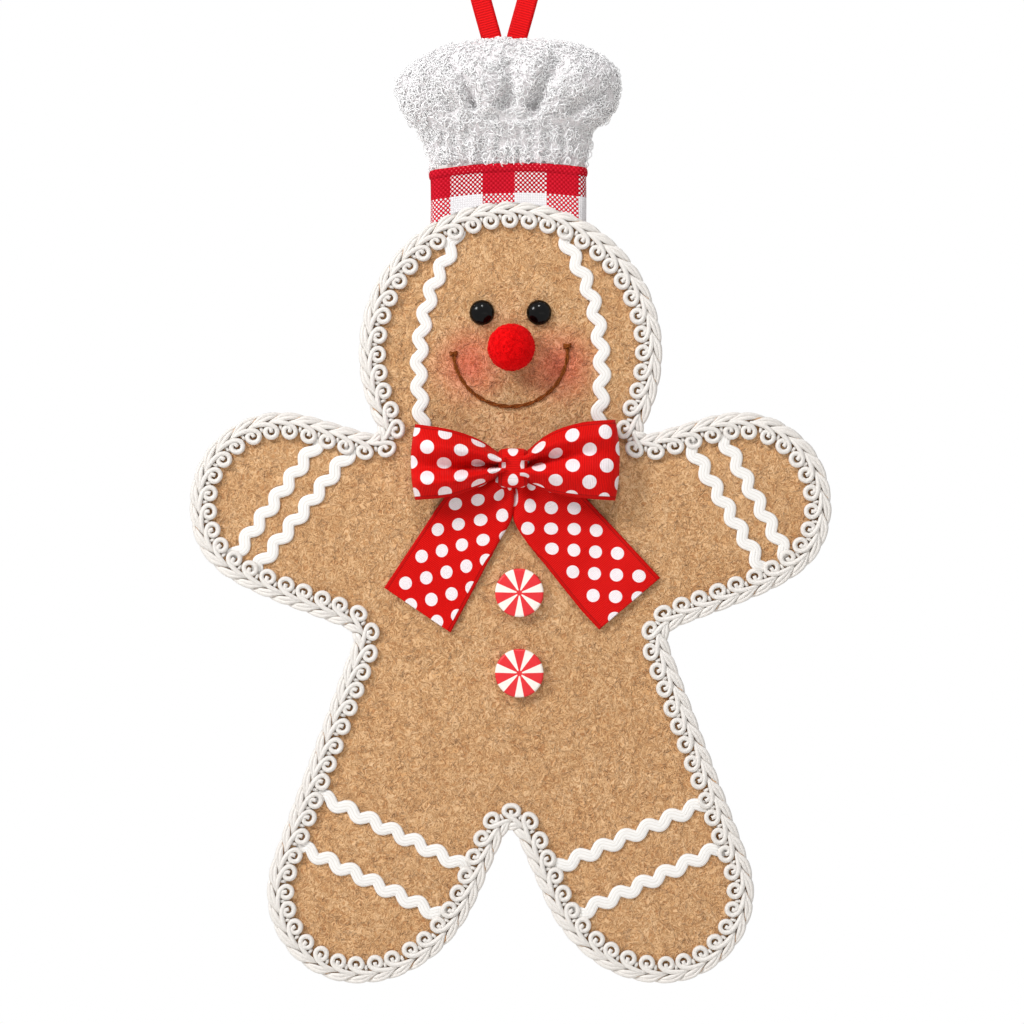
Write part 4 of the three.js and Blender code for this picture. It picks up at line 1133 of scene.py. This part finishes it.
def bow_loop(side, reach, valley, fade, edges):
    """The ribbon runs out from the knot in front, turns over and comes back behind. Near the knot it is
    gathered into two ridges with a valley between them. Returned with its length laid flat."""
    plan = [Vector((out * reach, height)) for out, height in LOOP_PLAN]
    shares, length = even_shares([catmull_rom(plan, k / 400) for k in range(401)], LOOP_STEPS)
    widest = max(point.x for point in plan)

    def place(u, v):
        out, height = catmull_rom(plan, shares[round(u * LOOP_STEPS)])
        share = min(max(out / widest, 0), 1)
        _, top, bottom = follow(edges, share)
        behind = smoothstep(u, 0.42, 0.6)
        bent = v + valley * math.sin(math.pi * v) ** 2
        gather = LOOP_GATHER * (1 - share) ** fade * (1 - behind * (1 - LOOP_BACK_SHARE))
        height -= gather * math.cos(4 * math.pi * bent) * (1 - 0.5 * (2 * v - 1) ** 4)
        height -= LOOP_EDGE_CURL * (2 * v - 1) ** 8 * (1 - behind)
        out -= LOOP_CORNER * (2 * v - 1) ** 2 * share ** 3
        height += noise.noise(Vector((out * 0.12, v * 2.4, side * 3.7))) * LOOP_WAVE * share
        return on_felt(BOW[0] + side * (LOOP_FOOT + out), bottom + (top - bottom) * v, height)

    return patch((LOOP_STEPS, 44), (length, BOW_RIBBON), place), length


def knot_section(share, shrink):
    """Places round the knot, (up, out), from its top round the front to its foot and up behind."""
    angle = 2 * math.pi * share
    up = math.copysign(abs(math.cos(angle)) ** 0.62, math.cos(angle)) * (KNOT_HALF[1] - shrink)
    out = math.copysign(abs(math.sin(angle)) ** 0.7, math.sin(angle)) * (KNOT_HALF[2] - shrink)
    return Vector((up, out))


def bow_knot(u, v):
    """A place on the length that is folded narrow and wrapped round, its two edges turned in."""
    edge = 2 * v - 1
    curl = KNOT_CURL * (1 - math.sqrt(1 - min(abs(edge), 0.999) ** 4))
    crease = 0.04 * math.sin(edge * 8 + 1.6 * math.sin(2 * math.pi * u)) * (1 - edge * edge)
    up, out = knot_section(knot_shares[round(u * KNOT_STEPS)], curl + crease)
    waist = 1 - 0.05 * (out / KNOT_HALF[2]) ** 2
    return on_felt(BOW[0] + edge * KNOT_HALF[0] * waist, BOW[1] + up, KNOT_MIDDLE + out)


def tail_spot(spread, reach, out, height):
    """A place on a tail's plane: down from the bow's middle, out to the right, and in front of the felt."""
    angle = math.radians(spread)
    down = Vector((math.sin(angle), -math.cos(angle)))
    x, z = Vector(BOW) + down * reach + Vector((-down.y, down.x)) * out
    return on_felt(x, z, height)


def bow_tail(spread, length, rows):
    """The ribbon fans out from under the knot and lies just off the felt, with its inner edge curled under
    where the knot draws it in."""
    side = math.copysign(1, spread)

    def place(u, v):
        reach = TAIL_START + (length - TAIL_START) * u
        _, outer, inner = follow(rows, reach)
        curl = TAIL_CURL * (1 - smoothstep(reach, 15, 31)) * smoothstep(reach, 3, 9)
        width = outer + inner
        from_outer = (1 - v if side > 0 else v) * min(width + curl, BOW_RIBBON)
        radius = max(TAIL_CURL_RADIUS * curl / TAIL_CURL, 0.01)
        turn = min(max((from_outer - width + radius) / radius, 0), math.pi)
        flat = min(from_outer, width - radius) + radius * math.sin(turn)
        rise = TAIL_RISE * (1 - smoothstep(reach, 5, 29))
        gather = TAIL_GATHER * (1 - smoothstep(reach, 5, 17))
        height = TAIL_LIFT + rise + gather * math.cos(5 * math.pi * v + 0.6) - radius * (1 - math.cos(turn))
        height += TAIL_WAVE * math.sin(reach / 4.4 + side + 2 * v) * smoothstep(reach, 30, 38)
        return tail_spot(spread, reach, side * (outer - flat), height)

    return patch((110, 46), (length - TAIL_START, BOW_RIBBON), place)


for name, (side, reach, valley, fade, phase, edges) in LOOPS.items():
    finish = dotted(f"loop_{name}", phase, DOT_PITCH["loop"])
    shape, length = bow_loop(side, reach, valley, fade, edges)
    loop = piece(f"bow_ribbon_loop_{name}", shape, finish, [f"bow_loop_{name}"])
    thicken(loop, BOW_THICKNESS)

knot_shares, knot_length = even_shares([knot_section(k / 960, 0) for k in range(961)], KNOT_STEPS)
knot_shape = patch((KNOT_STEPS, 28), (knot_length, KNOT_WIDTH), bow_knot)
knot_phase = (knot_length / 4 + KNOT_DOT, KNOT_WIDTH / 2)
knot_finish = dotted("knot", knot_phase, DOT_PITCH["knot"], KNOT_WIDTH)
knot = piece("bow_ribbon_knot", knot_shape, knot_finish, ["bow_knot"])
thicken(knot, BOW_THICKNESS)

for name, (spread, length, phase, turn, margin, rows) in TAILS.items():
    finish = dotted(f"tail_{name}", phase, DOT_PITCH["tail"], turn=turn, margin=margin)
    shape = bow_tail(spread, length, rows)
    nodes = [f"bow_tail_{name}_root", f"bow_tail_{name}_end"]
    tail = piece(f"bow_ribbon_tail_{name}", shape, finish, nodes, None)
    thicken(tail, BOW_THICKNESS)
    bend = [tail_spot(spread, HINGE_REACH + way * HINGE_BEND, 0, HINGE_OUT) * MM for way in (-1, 1)]
    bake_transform(tail)


# Hat band: a strip of woven red and white gingham round the crown of the head, with its upper edge rolled
# into a hem. It is stuffed with wadding, and the puff is gathered into it.

HAT_OUT = -0.7
BAND_HALF = 24.6
BAND_FRONT = 0.95
BAND_BACK = -9.15
BAND_CORNER = 3.4
BAND_FOOT = 47.5
BAND_TALL = 22
BAND_CLOTH = 0.4
BAND_STEPS = 180
BAND_TOPS = [(-25.3, 57.8), (-12, 59.4), (0, 60.0), (12, 59.8), (23.9, 58.7)]
HEM = 2.5
HEM_ROLL = 0.55
HEM_SHARE = 0.62
CHECK = 10.15
CHECK_EDGE = -8.85
CHECK_ROW = 9.3
THREAD = 0.72
RED_SHARE = 0.2


def band_plan():
    """Points round the band as seen from above, (out, height), from the middle of its back."""
    inner = BAND_HALF - BAND_CORNER
    centres = [(-inner, BAND_BACK + BAND_CORNER, -90), (-inner, BAND_FRONT - BAND_CORNER, 180)]
    corners = []
    for out, height, first in centres:
        for k in range(7):
            angle = math.radians(first - 15 * k)
            reach, rise = BAND_CORNER * math.cos(angle), BAND_CORNER * math.sin(angle)
            corners.append(Vector((out + reach, height + rise)))
    half = [Vector((0, BAND_BACK)), *corners, Vector((0, BAND_FRONT))]
    return half + [Vector((-point.x, point.y)) for point in reversed(half[:-1])]


band_ring = band_plan()
band_shares, band_round = even_shares(band_ring, BAND_STEPS)
band_middle = (BAND_FRONT + BAND_BACK) / 2


def on_band(u, v):
    at = band_shares[round(u * BAND_STEPS)] * (len(band_ring) - 1)
    i = min(int(at), len(band_ring) - 2)
    spot = band_ring[i].lerp(band_ring[i + 1], at - i)
    x = HAT_OUT + spot.x
    top = follow(BAND_TOPS, x)[1]
    foot = math.sqrt(BAND_FOOT ** 2 - x ** 2)
    out = Vector((spot.x * 0.25, spot.y - band_middle)).normalized()
    rolled = max((v - HEM_SHARE) / (1 - HEM_SHARE), 0)
    z = foot + (top - HEM - foot) * min(v / HEM_SHARE, 1)
    proud = 0.12 * math.sin(x * 0.55) * math.sin(min(v / HEM_SHARE, 1) * math.pi)
    if rolled:
        turn = rolled * 1.5 * math.pi
        z = top - HEM / 2 - HEM / 2 * math.cos(min(turn, math.pi)) - max(turn - math.pi, 0) * 0.7
        proud = HEM_ROLL * math.sin(min(turn, math.pi)) - max(turn - math.pi, 0) * 0.25 - 0.05
        proud += 0.06 * noise.noise(Vector((x * 0.7, z, 2)))
    shift = out * proud
    return on_felt(x + shift.x, z, spot.y + shift.y)


def woven_gingham():
    """Cotton woven in checks: where a red stripe crosses a white one, red and white threads take turns. UVs
    hold millimetres across from the middle of the front and up from the upper edge. Threads are drawn
    0.7 mm wide, coarser than real ones, so that they show. The red threads are painted in lit and
    shaded tones, and painted shade darkens the gaps between the threads."""
    made, tree = material("woven_red_gingham", roughness=0.85, specular_ior_level=0.08)
    uv = add(tree, "UVMap", uv_map="UVMap")
    across, up, _ = add(tree, "SeparateXYZ", (uv,), None)
    stripes = []
    for axis, edge in ((across, CHECK_EDGE), (up, -CHECK_ROW)):
        along = add(tree, "Math", (axis, edge), operation="SUBTRACT")
        checks = add(tree, "Math", (along, 2 * CHECK), operation="DIVIDE")
        part = add(tree, "Math", (checks,), operation="FRACT")
        stripes.append(add(tree, "Math", (part, 0.5), operation="GREATER_THAN"))
    on_hem = add(tree, "Math", (up, -HEM), operation="GREATER_THAN")
    off_hem = add(tree, "Math", (1.0, on_hem), operation="SUBTRACT")
    warp = stripes[0]
    weft = add(tree, "Math", (stripes[1], off_hem), operation="MULTIPLY")
    waves = [wave(tree, axis, 2 * THREAD) for axis in (across, up)]
    crossing = add(tree, "Math", waves, operation="MULTIPLY")
    mixed = add(tree, "Math", (warp, weft), operation="SUBTRACT")
    fewer = add(tree, "Math", (mixed, RED_SHARE), operation="MULTIPLY")
    limit = add(tree, "Math", (on_hem, 0.8, fewer), operation="MULTIPLY_ADD")
    above = add(tree, "Math", (crossing, limit), operation="SUBTRACT")
    over = add(tree, "MapRange", (above, -0.12, 0.12))
    whiteness = add(tree, "Mix", {0: over, 2: weft, 3: warp})
    # Painted light and shade: the red goes from a shaded to a lit red as the threads cross over and under.
    lit = add(tree, "MapRange", (crossing, -1.0, 1.0))
    red = add(tree, "Mix", {0: lit, 6: colour("#A80010"), 7: colour("#DE2036")}, 2, data_type="RGBA")
    slub = add(tree, "TexNoise", {"Vector": uv, "Scale": 1.4, "Detail": 3.0})
    white = add(tree, "Mix", {0: slub, 6: colour("#E6E2E4"), 7: colour("#F5F2F4")}, 2, data_type="RGBA")
    woven = add(tree, "Mix", {0: whiteness, 6: red, 7: white}, 2, data_type="RGBA")
    # Painted shade darkens the colour in the gaps between the threads.
    hump = add(tree, "Math", (crossing,), operation="ABSOLUTE")
    thread_gap_shade = add(tree, "MapRange", (hump, 0.0, 0.3, 0.84, 1.0))
    dress(tree, add(tree, "VectorMath", {0: woven, 3: thread_gap_shade}, operation="SCALE"), hump, 0.7, 0.15)
    return made


band_shape = patch((BAND_STEPS, 40), (band_round, BAND_TALL), on_band)
band_flat = band_shape.loops.layers.uv.active
for face in band_shape.faces:
    for loop in face.loops:
        top = HEAD.z + follow(BAND_TOPS, loop.vert.co.x - HEAD.x)[1]
        loop[band_flat].uv = (loop[band_flat].uv.x - band_round / 2 + HAT_OUT, loop.vert.co.z - top)
bmesh.ops.remove_doubles(band_shape, verts=band_shape.verts, dist=0.001)
band = piece("gingham_band", band_shape, woven_gingham(), ["hat_band"])
thicken(band, BAND_CLOTH)

# Polyester wadding is soft, dull and white, and lies in loose tufts.
soft = {"roughness": 0.95, "specular_ior_level": 0.1}
dress_solid("hat_filling", mottled("polyester_wadding", 2.5, "#E3E1DE", "#F8F7F5", 5.0, 1.5, **soft))


# Hat puff: white terry cloth gathered into the band and stuffed, so that it swells out over it in deep
# radiating folds. The cloth's pile is a tangle of small thread loops, and they cover the ribbon's foot too.

PUFF_ROWS = [
    (58.3, -24.9, 23.6, 4.4), (60, -25.5, 24.1, 5.0), (64, -26.1, 24.4, 6.2), (68, -27.3, 25.1, 7.8),
    (71.5, -29.6, 26.7, 9.6), (74, -31.9, 30.3, 11.4), (78, -34.1, 32.7, 13.8), (82, -35.5, 34.0, 15.4),
    (86, -35.7, 34.4, 16.2), (90, -32.9, 33.0, 15.4), (93.5, -28.6, 29.8, 13.2), (96.3, -23, 25.1, 10.2),
    (98.2, -16.2, 19.1, 6.8), (99.2, -9.4, 12.8, 3.6), (99.5, -3, 5.5, 1.2),
]
PUFF_BACK = 4.1
PUFF_SQUARE = 2.5
PUFF_AROUND = 260
PUFF_UP = 96
CREASES = [
    ((-25.5, 84), (-18.3, 77), 3.4, 3.0), ((-17.2, 91), (-11.9, 78.8), 5.2, 2.3),
    ((-0.6, 90), (-1.2, 78.8), 5.4, 3.3), ((14.4, 91), (7.5, 78.2), 6.4, 3.1),
    ((30, 82.5), (19.5, 76.5), 2.4, 2.2), ((-19, 75.5), (14, 75.5), 1.6, 2.2),
]
PLEAT = 4.1
PLEAT_DEPTH = 0.5
CURLS = 3700
CURL_RADIUS = 0.17
CURL_CLEAR = 0.4
FIGURE_HALF = 4.6


def crease_depth(x, z):
    """How far in the folds draw the cloth at a place seen from the front."""
    depth = 0
    for start, end, deep, wide in CREASES:
        first, last = Vector(start), Vector(end)
        along = last - first
        share = min(max((Vector((x, z)) - first).dot(along) / along.length_squared, 0), 1)
        away = (Vector((x, z)) - first - along * share).length
        depth = max(depth, deep * (0.5 + 0.5 * share) * math.exp(-((away / wide) ** 2)))
    return depth


def on_puff(u, v):
    z = PUFF_ROWS[0][0] + (PUFF_ROWS[-1][0] - PUFF_ROWS[0][0]) * (1 - (1 - v) ** 1.35)
    _, left, right, front = follow(PUFF_ROWS, z)
    angle = 2 * math.pi * u
    across = -math.copysign(abs(math.sin(angle)) ** (2 / PUFF_SQUARE), math.sin(angle))
    deep = -math.copysign(abs(math.cos(angle)) ** (2 / PUFF_SQUARE), math.cos(angle))
    x = (left + right) / 2 + (right - left) / 2 * across
    y = deep * (front if deep > 0 else min(PUFF_BACK, front))
    neck = 1 - smoothstep(z, 66, 77)
    pleats = PLEAT_DEPTH * neck * math.sin(2 * math.pi * x / PLEAT + 1.4 * math.sin(x * 0.31))
    swell = noise.noise(Vector((x, z, 40)) * 0.13) * 1.1 + noise.noise(Vector((x, z, 9)) * 0.33) * 0.5
    y += max(deep, 0) ** 0.5 * (pleats + swell * (1 - neck) - crease_depth(x, z))
    x += 0.4 * neck * math.sin(z * 0.5) * across
    return on_felt(x, z + 0.3 * swell, y - FIGURE_HALF)


def terry_loops(shape, count):
    """Thread loops that stand on the cloth: each rises, wriggles over it and comes back down."""
    shape.faces.ensure_lookup_table()
    reached = [0]
    for face in shape.faces:
        seen = 1 if face.normal.y < 0.2 else 0.45
        reached.append(reached[-1] + face.calc_area() * seen)
    loops = []
    while len(loops) < count:
        i = bisect.bisect(reached, chance.uniform(0, reached[-1]))
        face = shape.faces[min(i, len(shape.faces)) - 1]
        corners = [vert.co for vert in face.verts]
        spot = corners[0].lerp(corners[1], chance.random()).lerp(corners[2], chance.random() * 0.7)
        if spot.z - HEAD.z < follow(BAND_TOPS, spot.x - HEAD.x)[1] + CURL_CLEAR:
            continue
        out = face.normal
        side = out.cross(Vector([chance.gauss(0, 1) for _ in range(3)])).normalized()
        other = out.cross(side)
        size = chance.uniform(1.2, 2.8)
        turn = chance.choice((-1, 1)) * chance.uniform(0.5, 1.2)
        rise = chance.uniform(0.15, 0.55) + 0.8 * chance.random() ** 4
        places = [
            spot - out * 0.15,
            spot + side * (size * 0.5) + out * rise * 0.8,
            spot + side * (size * 0.9) + other * (size * turn * 0.6) + out * rise,
            spot + side * (size * 0.5) + other * (size * turn) + out * rise * 1.1,
            spot - side * (size * 0.2) + other * (size * turn * 0.95) + out * rise * 0.8,
            spot - side * (size * 0.6) + other * (size * turn * 0.5) + out * rise * 0.2,
        ]
        loops.append([(place, CURL_RADIUS * scale) for place, scale in zip(places, (1, 1, 1, 1, 1, 0.8))])
    return loops


def terry(name, dark, light):
    """Terry cloth: soft cotton thread, dull and pale, with a faint twist that shows as light and shade."""
    cotton = {"roughness": 0.9, "sheen_weight": 0.05, "specular_ior_level": 0.1}
    return mottled(name, 0.7, dark, light, 3.0, 0.8, (0.35, 0.65), (0.15, 0.2), **cotton)


puff_shape = patch((PUFF_AROUND, PUFF_UP), (PUFF_AROUND, PUFF_UP), on_puff)
bmesh.ops.remove_doubles(puff_shape, verts=puff_shape.verts, dist=0.001)
halfway = HEAD.z + (PUFF_ROWS[0][0] + PUFF_ROWS[-1][0]) / 2
for upper in (False, True):
    open_edges = [edge for edge in puff_shape.edges if edge.is_boundary]
    end_edges = [edge for edge in open_edges if (edge.verts[0].co.z > halfway) == upper]
    cap = bmesh.ops.contextual_create(puff_shape, geom=end_edges)["faces"]
    bmesh.ops.poke(puff_shape, faces=cap)
bmesh.ops.recalc_face_normals(puff_shape, faces=puff_shape.faces)
puff_shape.normal_update()

chance = random.Random(29)
ground_faces = len(puff_shape.faces)
join(puff_shape, cords(terry_loops(puff_shape, CURLS), 0, 1))
for face in puff_shape.faces:
    face.material_index = 1 if face.index < ground_faces else 0
pile = terry("white_terry_pile", "#FBFAFB", "#FFFFFF")
puff = piece("terry_puff", puff_shape, pile, ["hat_puff"])
# The ground between the loops is a greyer copy of the pile's white: painted shade between the loops.
puff.data.materials.append(terry("terry_ground_painted_shade", "#E1DCDE", "#F3F0F1"))
